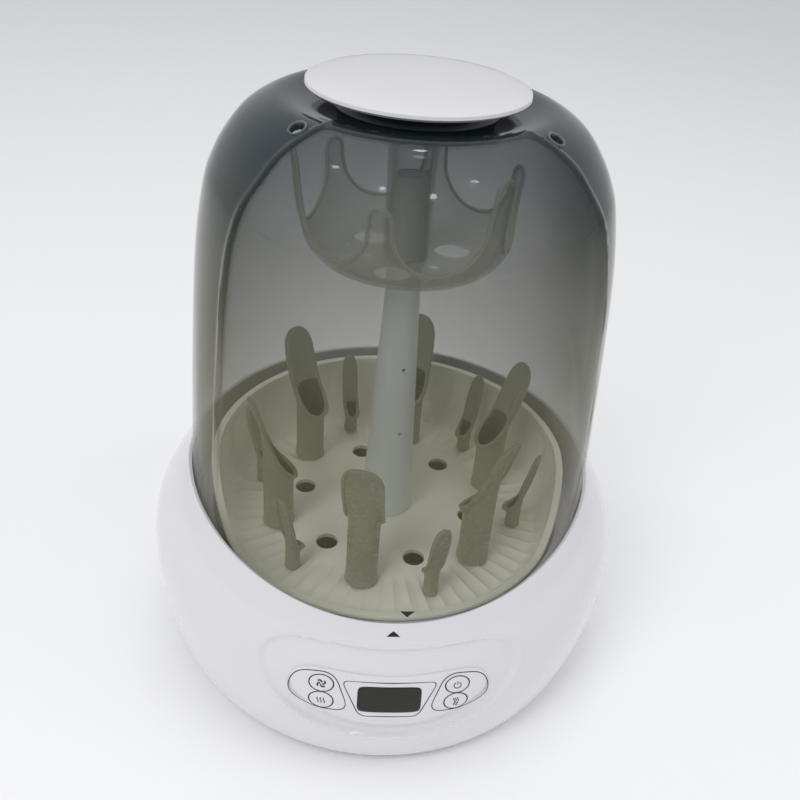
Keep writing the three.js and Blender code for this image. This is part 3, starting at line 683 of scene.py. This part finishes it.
class STERILISER_OT_base(bpy.types.Operator):
    """Base housing with its dished control panel"""
    bl_idname = "steriliser.base"
    bl_label = "Base housing"

    def execute(self, context):
        skin = smooth_through(BASE_ROWS, 13)
        layers = [("skin", row, 0) for row in skin]
        # over the rim, down the lid's seat, across the ledge and down the well to its floor
        rim = BASE_ROWS[-1]
        front, front_top, side, side_top = rim
        layers.append(("skin", (front - 1, front_top + 0.8, side - 1, side_top + 0.8), 0))
        layers += [("turn", SEAT_RADIUS, "rim"), ("turn", SEAT_RADIUS, SEAT_HEIGHT + 0.4),
                   ("turn", SEAT_RADIUS - 0.4, SEAT_HEIGHT), ("turn", WELL_RADIUS + 0.6, SEAT_HEIGHT),
                   ("turn", WELL_RADIUS, SEAT_HEIGHT - 0.6), ("turn", WELL_RADIUS, WELL_FLOOR + 1),
                   ("turn", WELL_RADIUS - 1, WELL_FLOOR), ("turn", DISH_RADIUS, WELL_FLOOR),
                   ("turn", DISH_RADIUS, WELL_FLOOR - HOUSING_WALL),
                   ("turn", WELL_RADIUS + HOUSING_WALL, WELL_FLOOR - HOUSING_WALL),
                   ("turn", WELL_RADIUS + HOUSING_WALL, SEAT_HEIGHT - HOUSING_WALL),
                   ("turn", SEAT_RADIUS + HOUSING_WALL, SEAT_HEIGHT - HOUSING_WALL)]
        layers += [("skin", row, HOUSING_WALL + 2.5) for row in skin[-14:0:-6]]
        layers += [("skin", BASE_ROWS[0], HOUSING_WALL), ("skin", BASE_ROWS[0], 0)]
        piece = ring_stack("housing_shell", HOUSING_SIDES, len(layers))
        last_skin = len(skin)

        def place(ring, angle):
            azimuth = angle + math.pi / 2
            kind, value, extra = layers[ring]
            if kind == "turn":
                height = skin_point(rim, azimuth)[2] if extra == "rim" else extra
                return polar(value, azimuth, height)
            point = skin_point(value, azimuth, extra)
            return (dished(point) if ring < last_skin else point) * MM

        settle(piece, place)
        use(piece, "TRIANGULATE")
        return {"FINISHED"}


class STERILISER_OT_panel(bpy.types.Operator):
    """Overlay, display window, buttons and printing on the control panel"""
    bl_idname = "steriliser.panel"
    bl_label = "Control panel"

    def execute(self, context):
        housing = bpy.data.objects["housing_shell"]
        seat = panel_seat(housing)
        width = context.scene.steriliser_sizes.print_width / MM
        overlay = plate("panel_overlay", rounded(mirrored(OVERLAY_HALF), 2), seat, -1, 1.0,
                        rim=0.5, sides=180, rings=14)
        window = plate("display_pane", block_outline(DISPLAY_CENTRE, *DISPLAY_HALF), seat, 0.2, 1.3,
                       sides=144)
        caps = {}
        for name, (x, up) in BUTTONS.items():
            caps[name] = plate(f"button_{name}_cap", ellipse((x, up), *BUTTON_HALF), seat, -0.2, 1.3,
                               rim=0.3, sides=72, rings=6, crown=0.15)
        self.print_panel(seat, width)
        # wells under the buttons leave room for their travel
        for x, up in BUTTONS.values():
            middle = (PANEL_POINT + Vector((x, 0, 0)) + PANEL_UP * up) * MM
            for target in (overlay, housing):
                cutter = rod(middle - PANEL_OUT * WELL_DEPTH * MM,
                             middle + PANEL_OUT * WELL_TOP * MM, 1, 72)
                self.stretch(cutter, middle)
                carve(target, cutter)
        done(overlay, "base", "white_gloss", "control_overlay")
        done(window, "base", "window_smoke", "display_window")
        for name, cap in caps.items():
            done(cap, f"button_{name}_body", "white_gloss", f"button_{name}")
        self.finish_housing(housing)
        return {"FINISHED"}

    def stretch(self, cutter, middle):
        """Makes a round cutter of radius 1 mm into a button's oval, with clearance."""
        side = Vector((1, 0, 0))
        for vertex in cutter.data.vertices:
            offset = vertex.co - middle
            across, along = offset.dot(side), offset.dot(PANEL_UP)
            vertex.co += side * across * (BUTTON_HALF[0] + BUTTON_PLAY - 1)
            vertex.co += PANEL_UP * along * (BUTTON_HALF[1] + BUTTON_PLAY - 1)

    def print_panel(self, seat, width):
        """Frames round the display and the buttons, and a picture on each button."""
        lines = [outline_print("print_display", filleted(DISPLAY_FRAME, 4.5), seat, width,
                               PANEL_PRINT, centre=(0, -1))]
        for side in (-1, 1):
            corners = [(x * side, up) for x, up in SIDE_FRAME]
            lines.append(outline_print(f"print_side_{side + 1}", filleted(corners, 9), seat, width,
                                       PANEL_PRINT, centre=(41.5 * side, 3.5)))
        for x, up in BUTTONS.values():
            lines.append(outline_print("print_ring", ellipse((x, up), BUTTON_HALF[0] + 0.75,
                                                             BUTTON_HALF[1] + 0.75), seat, width * 0.8,
                                       PANEL_PRINT, sides=72))
        done(join(lines), "base", "display_dark", finish="ink").name = "panel_print"
        for name, centre in BUTTONS.items():
            icon = join([stroke(path, thick, seat, ICON_PRINT)
                         for path, thick in icon_paths(name, centre)])
            icon.name = f"icon_{name}"
            done(icon, f"button_{name}_body", "display_dark", finish="ink")
        arrow = stroke([(0, up) for up, _ in BASE_ARROW], 1, seat, MARK_PRINT)
        arrow.name = "align_mark_base"
        for vertex in arrow.data.vertices:
            up = (vertex.co / MM - PANEL_POINT).dot(PANEL_UP)
            vertex.co.x *= min(BASE_ARROW, key=lambda level: abs(level[0] - up))[1]
        done(arrow, "base", "display_dark", finish="ink")

    def finish_housing(self, housing):
        back = oblong((0, 138, FILTER_HEIGHT), (33, 30, 17))
        gland = rod(Vector((0, 120, GLAND_HEIGHT)) * MM, Vector((0, 170, GLAND_HEIGHT)) * MM, 6.4)
        seat = rear_seat(housing)
        grille = plate("rear_grille", block_outline((0, FILTER_HEIGHT), 38, 22), seat, -0.2, 0.7,
                       rim=0.4, sides=180, rings=12)
        slots = [oblong((0, 150, FILTER_HEIGHT + row * 6.4), (27, 20, 1.6)) for row in range(-2, 3)]
        carve(grille, *slots)
        carve(housing, back, gland)
        done(grille, "rear_filter", "white_gloss", "filter_cover")
        done(housing, "base", "white_gloss", "base_housing")


def icon_paths(name, centre):
    """The strokes of a button's picture, as (path, width) pairs."""
    cx, cy = centre

    def arc(x, y, radius, start, end, count=14):
        angles = [math.radians(start + (end - start) * i / count) for i in range(count + 1)]
        return [(cx + x + radius * math.cos(a), cy + y + radius * math.sin(a)) for a in angles]

    def wave(x, low, high):
        steps = [i / 12 for i in range(13)]
        return [(cx + x + 0.45 * math.sin(2 * math.pi * t), cy + low + (high - low) * t) for t in steps]

    if name == "power":
        return [(arc(0, -0.3, 2.1, 120, 420, 24), 0.5), ([(cx, cy + 0.3), (cx, cy + 2.5)], 0.5)]
    if name == "steam":
        return [(wave(x, -1.9, 1.9), 0.5) for x in (-1.8, 0, 1.8)]
    if name == "fan":
        return [(arc(1.35 * math.cos(math.radians(a)), 1.35 * math.sin(math.radians(a)), 1.25, a - 150,
                     a + 10), 0.95) for a in (45, 135, 225, 315)]
    steam = [(wave(x, 0.2, 2.7), 0.4) for x in (-1.2, 0, 1.2)]
    blades = [(arc(0.8 * math.cos(math.radians(a)), -1.6 + 0.8 * math.sin(math.radians(a)), 0.7,
                   a - 150, a + 10), 0.5) for a in (45, 135, 225, 315)]
    return steam + blades


# ------------------------------------------------------------------ lid
def arch_distance(radius, height, azimuth):
    """Millimetres inside the edge of the dome's arched front face, negative outside."""
    degrees = abs(math.degrees(azimuth))
    side = math.radians(interpolate(ARCH_EDGE, height) - degrees) * radius
    over = radius - ARCH_TOP_RADIUS - 5 * (degrees / 43) ** 2
    return min(side, over)


class STERILISER_OT_lid(bpy.types.Operator):
    """Dome, cap and boss"""
    bl_idname = "steriliser.lid"
    bl_label = "Lid"

    def execute(self, context):
        outer = smooth_through(DOME_PROFILE[:2], 6)[:-1] + smooth_through(DOME_PROFILE[1:-1], 8)
        outer.append(DOME_PROFILE[-1])
        inner = []
        for index, (radius, height) in enumerate(outer[1:-1], 1):
            (ra, ha), (rb, hb) = outer[index - 1], outer[index + 1]
            length = math.hypot(rb - ra, hb - ha)
            inner.append((radius - (hb - ha) / length * DOME_WALL,
                          height + (rb - ra) / length * DOME_WALL))
        top = DOME_PROFILE[-1][1]
        profile = outer + [(0, top), (0, top - DOME_WALL), (38.6, top - DOME_WALL)] + inner[::-1]
        profile += [(outer[0][0] - DOME_WALL, outer[0][1]), outer[0]]
        raised = len(outer)
        dome = ring_stack("dome_shell", DOME_SIDES, len(profile))

        def place(ring, angle):
            azimuth = angle + math.pi / 2
            azimuth = (azimuth + math.pi) % (2 * math.pi) - math.pi
            radius, height = profile[ring]
            if ring < raised - 1 and radius > 45:
                inside = arch_distance(radius, height, azimuth)
                lift = ARCH_STEP * smoothstep(-1, 1, inside) + 0.8 * math.exp(-(inside / 1.5) ** 2)
                lift *= smoothstep(150, 190, height)
                slope = smoothstep(330, 372, height)
                radius, height = radius + lift * (1 - slope), height + lift * slope
            return polar(radius, azimuth, height)

        settle(dome, place)
        for azimuth in (-VENT_AZIMUTH, VENT_AZIMUTH):
            a = math.radians(azimuth)
            carve(dome, rod(polar(VENT_RING, a, 355), polar(VENT_RING, a, 380), VENT_RADIUS))
            outward = (polar(VENT_RING, a, 370) - polar(VENT_RING - 30, a, 312)).normalized()
            lip = grommet(f"vent_lip_{'left' if azimuth < 0 else 'right'}", polar(VENT_RING, a, 369.2),
                          outward, VENT_RADIUS + 1.2, 0.5)
            done(turn_mesh(lip, LID_TURN), "lid", "smoke_clear", finish="vent_clear")
        # clear plastic lets the light through to the rack
        dome.visible_shadow = False
        # painted shade along the arch's edge and on the shoulders outside it
        self.paint_arch_shade(dome)
        done(turn_mesh(dome, LID_TURN), "lid", "smoke_clear", "lid_dome")

        cap = turned("cap_disc", [(0, CAP_LOW), (50, CAP_LOW), (57.2, 376.3), (CAP_RADIUS, 377.6),
                                  (CAP_RADIUS - 0.3, 379.2), (54, 380.7), (44, 381.9), (30, 382.8),
                                  (14, 383.3), (0, CAP_TOP)], 144)
        done(turn_mesh(cap, LID_TURN), "lid", "white_gloss", "lid_cap", angle=50)

        boss = turned("lid_boss_shell", [(0, 350.5), (8, 350.5), (9.2, 352), (9.2, 367), (19, 369.4),
                                         (19, 371.8), (0, 371.8)], 64)
        done(soften(boss, 0.5), "lid", "smoke_dark", "lid_boss")

        self.align_mark(dome)
        return {"FINISHED"}

    def paint_arch_shade(self, dome):
        """Stores painted shade that makes the dome read darker: a line along the arch's edge, and the
        shoulders outside it.
        """
        shade = dome.data.attributes.new("arch_painted_shade", "FLOAT", "POINT")
        for index, vertex in enumerate(dome.data.vertices):
            x, y, height = vertex.co / MM
            radius = math.hypot(x, y)
            if y > 0 or radius < 45:
                inside = -20
            else:
                inside = arch_distance(radius, height, math.atan2(x, -y))
            line = math.exp(-(inside / 1.6) ** 2)
            outside = (0.16 + 0.42 * smoothstep(220, 330, height)) * (1 - smoothstep(-1.5, 1.5, inside))
            outside *= 1 - smoothstep(0, 90, y)
            shade.data[index].value = (0.4 * line + outside) * smoothstep(150, 200, height)

    def align_mark(self, dome):
        """Printed arrow near the dome's foot that meets the one on the base."""
        def seat(x, up, lift):
            return on_surface(dome, Vector((x, -300, up)) * MM, Vector((0, 1, 0)), lift)

        path = [(LID_ARROW_X, LID_ARROW_FOOT + share * LID_ARROW_TALL) for share in (0, 0.5, 1)]
        arrow = stroke(path, 1, seat, MARK_PRINT)
        arrow.name = "align_mark_lid"
        for vertex in arrow.data.vertices:
            share = (vertex.co.z / MM - LID_ARROW_FOOT) / LID_ARROW_TALL
            middle = LID_ARROW_X * MM
            vertex.co.x = middle + (vertex.co.x - middle) * 8.2 * max(share, 0.03)
        done(arrow, "lid", "smoke_dark", finish="ink")


# ------------------------------------------------------------------ rack
class STERILISER_OT_rack(bpy.types.Operator):
    """Rack tray with flutes, wall panels, drains and legs"""
    bl_idname = "steriliser.rack"
    bl_label = "Rack tray"

    def execute(self, context):
        sizes = context.scene.steriliser_sizes
        depth, flutes = sizes.flute_depth / MM, sizes.flutes
        floor = [(0, RACK_FLOOR), (40, RACK_FLOOR), (70, RACK_FLOOR), (71.2, RACK_FLOOR - 0.5)]
        floor += [(r, RACK_FLOOR - 0.5) for r in (75, 80, 85, 90, 95, 100, 103)]
        floor += [(106.5, 100.3), (109.4, 103.4), (110.8, 108.6)]
        under = [(111, 99.6), (103, RACK_UNDER), (60, RACK_UNDER), (0, RACK_UNDER)]
        wall_steps, outer_steps = 12, 3
        count = len(floor) + wall_steps + 2 + outer_steps + len(under)
        piece = ring_stack("rack_shell", 360, count)

        def place(ring, angle):
            azimuth = angle + math.pi / 2
            behind = -RACK_RADIUS * math.cos(azimuth + math.radians(RACK_TURN))
            top = max(interpolate(RACK_FALL, behind), 109.2)
            if ring < len(floor):
                radius, height = floor[ring]
                if 74 < radius < 104:
                    height -= depth * abs(math.cos(flutes / 2 * azimuth)) ** 0.7
                return polar(radius, azimuth, height)
            ring -= len(floor)
            if ring < wall_steps:
                height = 108.6 + (top - 108.6) * (ring + 1) / wall_steps
                panel = smoothstep(-0.5, -0.2, math.cos(18 * azimuth)) * smoothstep(5, 8, top - height)
                return polar(110.8 + 1.6 * panel, azimuth, height)
            ring -= wall_steps
            if ring < 2:
                return polar((111.3, RACK_FLANGE - 0.5)[ring], azimuth, top + 0.2)
            ring -= 2
            if ring < outer_steps:
                radius, drop = ((RACK_FLANGE, 0.4), (RACK_FLANGE, 2.2), (RACK_RADIUS, 3.2))[ring]
                return polar(radius, azimuth, top - drop)
            radius, height = under[ring - outer_steps]
            return polar(radius, azimuth, height)

        settle(piece, place)
        for count in range(6):
            azimuth = math.radians(30 + 60 * count)
            low, high = (polar(DRAIN_RING, azimuth, height) for height in DRAIN_CUT)
            carve(piece, rod(low, high, DRAIN_RADIUS, 40))
        legs = [oblong(LEG_PLACE, LEG_HALF, 30 + 60 * count) for count in range(6)]
        piece = join([piece, *legs])
        done(turn_mesh(piece, RACK_TURN), "rack", "rack_grey", "rack_floor",
             "rack_wall")
        return {"FINISHED"}


# The rim of a peg, from the lip that faces the mast (0 degrees) round to the tip of its tongue (180):
# turn, then how far across, outwards and up it lies from the peg's own axis, in millimetres.
PEG_KINDS = {
    "tall": {"ring": 75, "radius": 9.8, "bend": (130, 152), "bead": 1.25, "bore_top": (6.4, 160), "rim": [
        (0, 0, -11.6, 136.6), (25, 5.4, -10.4, 137.6), (50, 9.4, -7, 140.6), (75, 11.2, -1.8, 146.4),
        (95, 11.4, 3, 154), (112, 11.4, 7, 164), (128, 11.5, 10.2, 175.5), (142, 11.2, 12.6, 184.5),
        (153, 9.6, 14.6, 190.4), (163, 6.8, 16, 194), (172, 3.4, 16.8, 195.7), (180, 0, 17, 196)]},
    "small": {"ring": 87.5, "radius": 4.6, "bend": (106, 116), "bead": 0.9, "rim": [
        (0, 0, -7.6, 112), (30, 3.4, -6.4, 112.6), (60, 5, -3, 114.6), (90, 5.2, 0.6, 118.6),
        (115, 5, 3.6, 126), (135, 5, 6, 136), (150, 4.9, 8, 146), (161, 4.2, 9.2, 152.6),
        (171, 2.5, 10, 156.8), (180, 0, 10.3, 158)]},
}


def quill(name, kind):
    """A hollow stem that opens into a spoon: a lip facing the mast, and a tongue leaning outwards."""
    size = PEG_KINDS[kind]
    sides, straight, spoon = 64, 6, 20
    rims = {i: [interpolate([(row[0], row[i]) for row in size["rim"]], key) for key in range(181)]
            for i in (1, 2, 3)}
    piece = ring_stack(name, sides, straight + spoon)

    def place(ring, angle):
        turn = abs(math.degrees(angle))
        key = round(turn)
        side = 1 if angle > 0 else -1
        radius = size["radius"]
        low, high = size["bend"]
        top = low + (high - low) * (1 - math.cos(angle)) / 2
        if ring < straight:
            share = ring / straight
            height = PEG_FOOT + (top - PEG_FOOT) * share ** 1.6
            radius *= 1 + 0.1 * math.exp(-(height - PEG_FOOT) / 1.5)
            across, out = radius * math.sin(angle), -radius * math.cos(angle)
        else:
            share = (ring - straight) / (spoon - 1)
            rim = (side * rims[1][key], rims[2][key], rims[3][key])
            stem = (radius * math.sin(angle), -radius * math.cos(angle), top)
            pull = (stem[0], stem[1], top + 0.55 * (rim[2] - top))
            across, out, height = (
                (1 - share) ** 2 * a + 2 * share * (1 - share) * b + share ** 2 * c
                for a, b, c in zip(stem, pull, rim))
        return Vector((across, -(size["ring"] + out), height)) * MM

    settle(piece, place)
    wall = bpy.context.scene.steriliser_sizes.peg_wall
    use(piece, "SOLIDIFY", thickness=wall, offset=-1)
    use(piece, "SUBSURF", levels=1, render_levels=1)
    edge = bead(f"{name}_edge", lambda angle: place(straight + spoon - 1, math.remainder(angle, math.tau)),
                size["bead"], 96, Vector((0, -size["ring"], rims[3][90] + 12)) * MM)
    parts = [piece, edge]
    if "bore_top" in size:
        parts.append(tongue_face(f"{name}_face", size, rims))
    piece = join(parts)
    # painted shade down the bore
    paint_bore_shade(piece, size)
    return piece


def paint_bore_shade(piece, size):
    """Stores painted shade down the stem, on the surfaces that face its axis: their colour is darkened
    there.
    """
    light = piece.data.attributes.new("bore_painted_light", "FLOAT", "POINT")
    axis = Vector((0, -size["ring"], 0)) * MM
    for index, vertex in enumerate(piece.data.vertices):
        reach = (vertex.co - axis) * Vector((1, 1, 0))
        inward = vertex.normal.dot(reach) < 0 and reach.length < (size["radius"] - 0.2) * MM
        deep = vertex.co.z < (size["bend"][1] + 6) * MM
        light.data[index].value = BORE_PAINTED_LIGHT if inward and deep else 1


def tongue_face(name, size, rims):
    """The flat of a tongue, which ends below in an arc where the stem's bore opens."""
    # the rim's turn where the face begins, and half the angle that the arc takes up
    rings, low_key, arc = 7, 95, 70
    piece = ring_stack(name, 64, rings)
    bore_out, bore_height = size["bore_top"]
    middle = (0, 11.4, 177)

    def place(ring, angle):
        turn, side = abs(math.degrees(angle)), 1 if angle > 0 else -1
        if turn >= arc:
            key = low_key + (turn - arc) / (180 - arc) * (180 - low_key)
            edge = [interpolate([(row[0], row[i]) for row in size["rim"]], key) for i in (1, 2, 3)]
        else:
            bend = math.radians(90 * turn / arc)
            fall = 1 - math.cos(bend)
            edge = [rims[1][low_key] * math.sin(bend),
                    bore_out + (rims[2][low_key] - bore_out) * fall,
                    bore_height + (rims[3][low_key] - bore_height) * fall]
        share = ring / (rings - 1)
        across, out, height = (m + (e - m) * share for m, e in zip(middle, (side * edge[0], *edge[1:])))
        return Vector((across, -(size["ring"] + out), height)) * MM

    settle(piece, place)
    return use(piece, "SOLIDIFY", thickness=1.1 * MM, offset=0)


class STERILISER_OT_pegs(bpy.types.Operator):
    """Six tall and six small pegs"""
    bl_idname = "steriliser.pegs"
    bl_label = "Pegs"

    def execute(self, context):
        for kind, start in (("tall", 0), ("small", 30)):
            first = quill(f"{kind}_quill", kind)
            for count in range(6):
                piece = first.copy()
                piece.data = first.data.copy()
                piece.name = piece.data.name = f"{kind}_quill_{count + 1}"
                context.collection.objects.link(piece)
                turn_mesh(piece, RACK_TURN + start + 60 * count)
                done(piece, "rack", "peg_olive", f"{kind}_peg_{count + 1}")
            bpy.data.objects.remove(first)
        return {"FINISHED"}


class STERILISER_OT_mast(bpy.types.Operator):
    """Central mast with its holes and a raised ring round each, and the nut under the rack"""
    bl_idname = "steriliser.mast"
    bl_label = "Mast"

    def execute(self, context):
        profile = [(0, PEG_FOOT), (17, PEG_FOOT), (17.3, PEG_FOOT + 1.2), (16.8, PEG_FOOT + 4)]
        profile += smooth_through([(16.6, 110), (14.6, 155), (12.6, 206), (10.9, 245), (10.3, 262)], 6)
        profile += [(10.3, 277), (11.6, 279.2), (12.4, TRAY_SHELF), (12.4, 283.4), (10.3, 283.6),
                    (10.1, 326), (9.8, 329), (8.6, 331.4), (0, MAST_TOP)]
        mast = turned("mast_shaft", profile, 96)
        rings = []
        for height, radius in ((166, 15.4), (213, 13.5), (270, 11.6)):
            azimuth = math.radians(18)
            mouth = polar(radius, azimuth, height)
            carve(mast, rod(mouth, polar(radius - 7, azimuth, height), 1.3, 24))
            skin = interpolate([(h, r) for r, h in profile[4:-6]], height)
            rings.append(grommet("mast_ring", polar(skin, azimuth, height), polar(1, azimuth, 1),
                                 2.0, 0.55))
        mast = join([mast, *rings])
        done(mast, "rack", "mast_white", "mast")
        nut = turned("mast_nut_body", [(8.3, 91), (14, 91), (14, 95.7), (8.3, 95.7), (8.3, 91)], 6)
        done(turn_mesh(nut, RACK_TURN), "rack", "mast_white", "mast_nut")
        return {"FINISHED"}


# ------------------------------------------------------------------ upper tray
class STERILISER_OT_upper_tray(bpy.types.Operator):
    """Clear tray with six horns on the mast"""
    bl_idname = "steriliser.upper_tray"
    bl_label = "Upper tray"

    def execute(self, context):
        # half the distance between horns, the radii of a valley and of a horn's tip, and heights
        half, valley, horn, bend = 31.5, 25.3, 6.2, 323
        tall, short = 347, 334
        steps = 30
        sixth = math.radians(60)
        floor = [(13, 284.4), (20, 284.4), (30, 284.4), (38, 284.6)]
        wall = smooth_through([(38, 284.6), (45, 285.6), (51, 288.2), (57.4, 297), (61.4, 315),
                               (63.6, 335), (65, 350)], 4)
        lowest = 288.4
        piece = ring_stack("tray_bowl", 216, len(floor) + steps)

        def top_of(azimuth):
            turns = azimuth / sixth
            index = math.floor(turns + 0.5)
            offset = sixth * (turns - index)
            reach = min(abs(offset) * 63, half)
            peak = tall if index % 2 else short
            if reach < horn:
                return peak - horn + math.sqrt(horn ** 2 - reach ** 2)
            side = math.sqrt(max(valley ** 2 - (half - reach) ** 2, 0))
            return bend - side

        def place(ring, angle):
            azimuth = angle + math.pi / 2
            turns = azimuth / sixth
            index = math.floor(turns + 0.5)
            offset = turns - index
            # columns gather round each horn, where the edge is steepest
            azimuth = sixth * (index + math.copysign(0.5 * abs(2 * offset) ** 1.8, offset))
            if ring < len(floor):
                radius, height = floor[ring]
                return polar(radius, azimuth, height)
            share = (ring - len(floor) + 1) / steps
            height = lowest + (top_of(azimuth) - lowest) * share
            if share < 0.25:
                height = 284.6 + (height - 284.6) * min(1, share * 4)
            radius = interpolate([(h, r) for r, h in wall], height)
            return polar(radius, azimuth, height)

        settle(piece, place)
        use(piece, "SOLIDIFY", thickness=2.0 * MM, offset=0)
        for count in range(3):
            azimuth = math.radians(120 * count)
            between = azimuth + sixth
            holes = [(28, azimuth, 10.5, 48), (34, azimuth + math.radians(60 - 26), 2.4, 24),
                     (34, azimuth + math.radians(60 + 26), 2.4, 24), (22, between, 3.6, 24)]
            carve(piece, *[rod(polar(ring, a, 276), polar(ring, a, 296), radius, sides)
                           for ring, a, radius, sides in holes])
        # a cord along the top edge, paler than the tray: a painted highlight
        edge = bead("tray_edge", lambda angle: place(len(floor) + steps - 1, angle), 1.25, 720,
                    Vector((0, 0, 250)) * MM)
        done(turn_mesh(edge, TRAY_TURN), "upper_tray", "tray_clear", finish="tray_edge")
        done(turn_mesh(piece, TRAY_TURN), "upper_tray", "tray_clear",
             "upper_tray", angle=60)
        collar = turned("tray_collar", [(11, 284.6), (13.2, 284.6), (13.2, 333), (13.6, 336), (13.4, 349),
                                        (12.4, 350), (11.4, 349), (11, 336), (11, 284.6)], 64)
        for azimuth, half_width in ((0, 8.5), (125, 2), (-125, 2)):
            carve(collar, oblong((0, -12, 349), (half_width, 6, 12), azimuth))
        done(collar, "upper_tray", "tray_clear")
        return {"FINISHED"}


# ------------------------------------------------------------------ small outer pieces
class STERILISER_OT_fittings(bpy.types.Operator):
    """Rubber feet and cord gland, and the finish of every node that keeps its own shape"""
    bl_idname = "steriliser.fittings"
    bl_label = "Feet, gland and finishes"

    def execute(self, context):
        for count in range(4):
            low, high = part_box(f"rubber_foot_{count + 1}")
            middle = (low + high) / 2
            foot = turned(f"foot_pad_{count + 1}", [(0, 0), (8, 0), (9.5, 1.2), (9.5, 2.7), (3.5, 2.7),
                                                    (3.5, 5.8), (4.8, 5.8), (4.2, 7.6), (0, 7.6)], 48)
            soften(foot, 0.3)
            foot.data.transform(Matrix.Translation((middle.x, middle.y, 0)))
            done(foot, "base", "dark_rubber", f"rubber_foot_{count + 1}")
        gland = turned("gland_sleeve", [(3.6, 133), (6, 133), (6, GLAND_SEAT + 0.3),
                                        (8.7, GLAND_SEAT + 0.3), (8.7, 144), (3.6, 144), (3.6, 133)], 64)
        lying = Matrix.Rotation(-math.pi / 2, 4, "X")
        gland.data.transform(Matrix.Translation((0, 0, GLAND_HEIGHT * MM)) @ lying)
        done(soften(gland, 0.4), "base", "grey_rubber", "cord_gland")
        slots = {part["node"]: part["material_slot"] for part in frame["record"]["subparts"]}
        for name, piece in frame["nodes"].items():
            if not piece.hide_render:
                piece.data.materials.clear()
                piece.data.materials.append(MATERIALS[slots[name]])
        return {"FINISHED"}


# ------------------------------------------------------------------ stage
class STERILISER_OT_stage(bpy.types.Operator):
    """Floor, lights and camera"""
    bl_idname = "steriliser.stage"
    bl_label = "Stage"

    def execute(self, context):
        scene = context.scene
        deselect_all()
        bpy.ops.mesh.primitive_plane_add(size=scene.steriliser_sizes.floor_size)
        floor = context.object
        floor.name = "floor"
        floor.data.materials.append(
            moulded("floor_plain", scene.steriliser_colours.floor, 0.7, 3, 0.02, 0.005))
        world = bpy.data.worlds.new("soft_room")
        world.use_nodes = True
        world.node_tree.nodes["Background"].inputs["Color"].default_value = (0.93, 0.94, 0.96, 1)
        world.node_tree.nodes["Background"].inputs["Strength"].default_value = 0.6
        scene.world = world
        scene.view_settings.view_transform = "Standard"
        # broad lamps shape the object and stay out of its reflections, and small ones give it sparkle
        # name, place, diameter, watts, seen in reflections
        lamps = [("key", (-1.1, -1.3, 1.7), 1.1, 15, False), ("fill", (1.5, -0.5, 1.0), 1.0, 3, False),
                 ("top", (0.1, 0.3, 2.2), 1.8, 8, False)]
        lamps += [(f"sparkle_{i + 1}", place, 0.11, 0.5, True) for i, place in enumerate(
            [(-0.5, -1.0, 1.9), (0.25, -1.1, 1.8), (0.75, -0.5, 1.9), (-0.9, -0.2, 1.8), (0.1, 0.6, 2.0)])]
        for name, place, size, power, mirrored_too in lamps:
            bpy.ops.object.light_add(type="AREA", location=place)
            lamp = context.object
            lamp.name = name
            lamp.data.shape = "DISK"
            lamp.data.size, lamp.data.energy = size, power
            lamp.visible_glossy = mirrored_too
            aim = Vector((0, 0, 0.18)) - Vector(place)
            lamp.rotation_euler = aim.to_track_quat("-Z", "Y").to_euler()
        camera = bpy.data.objects.new("camera", bpy.data.cameras.new("camera"))
        scene.collection.objects.link(camera)
        # the camera's turns in radians
        elevation, roll, swing = 0.602, 0.0905, -0.096
        back = Vector((0, -math.cos(elevation), math.sin(elevation)))
        right = Vector((1, 0, 0))
        up = back.cross(right)
        turned_right = right * math.cos(roll) + up * math.sin(roll)
        turned_up = up * math.cos(roll) - right * math.sin(roll)
        basis = Matrix((turned_right, turned_up, back)).transposed()
        basis = Matrix.Rotation(swing, 3, "Z") @ basis
        camera.matrix_world = Matrix.Translation(Vector((-35.7, -457.5, 494.8)) * MM) @ basis.to_4x4()
        camera.data.lens = 39.17
        camera.data.shift_x, camera.data.shift_y = -0.008, 0.007
        camera.data.clip_start = 0.01
        scene.camera = camera
        return {"FINISHED"}


class STERILISER_PT_panel(bpy.types.Panel):
    bl_label = "Steriliser"
    bl_space_type = "VIEW_3D"
    bl_region_type = "UI"
    bl_category = "Steriliser"

    def draw(self, context):
        for group in (context.scene.steriliser_sizes, context.scene.steriliser_colours):
            for name in group.__annotations__:
                self.layout.prop(group, name)
        for operator in OPERATORS:
            self.layout.operator(operator.bl_idname)


OPERATORS = (STERILISER_OT_base, STERILISER_OT_panel, STERILISER_OT_lid, STERILISER_OT_rack,
             STERILISER_OT_pegs, STERILISER_OT_mast, STERILISER_OT_upper_tray, STERILISER_OT_fittings,
             STERILISER_OT_stage)
CLASSES = (SteriliserSizes, SteriliserColours, *OPERATORS, STERILISER_PT_panel)


def register():
    for item in CLASSES:
        bpy.utils.register_class(item)
    bpy.types.Scene.steriliser_sizes = bpy.props.PointerProperty(type=SteriliserSizes)
    bpy.types.Scene.steriliser_colours = bpy.props.PointerProperty(type=SteriliserColours)


def unregister():
    del bpy.types.Scene.steriliser_sizes
    del bpy.types.Scene.steriliser_colours
    for item in reversed(CLASSES):
        bpy.utils.unregister_class(item)


def main():
    register()
    make_materials(bpy.context.scene.steriliser_colours)
    for operator in OPERATORS:
        group, name = operator.bl_idname.split(".")
        getattr(getattr(bpy.ops, group), name)()


if __name__ == "__main__":
    main()
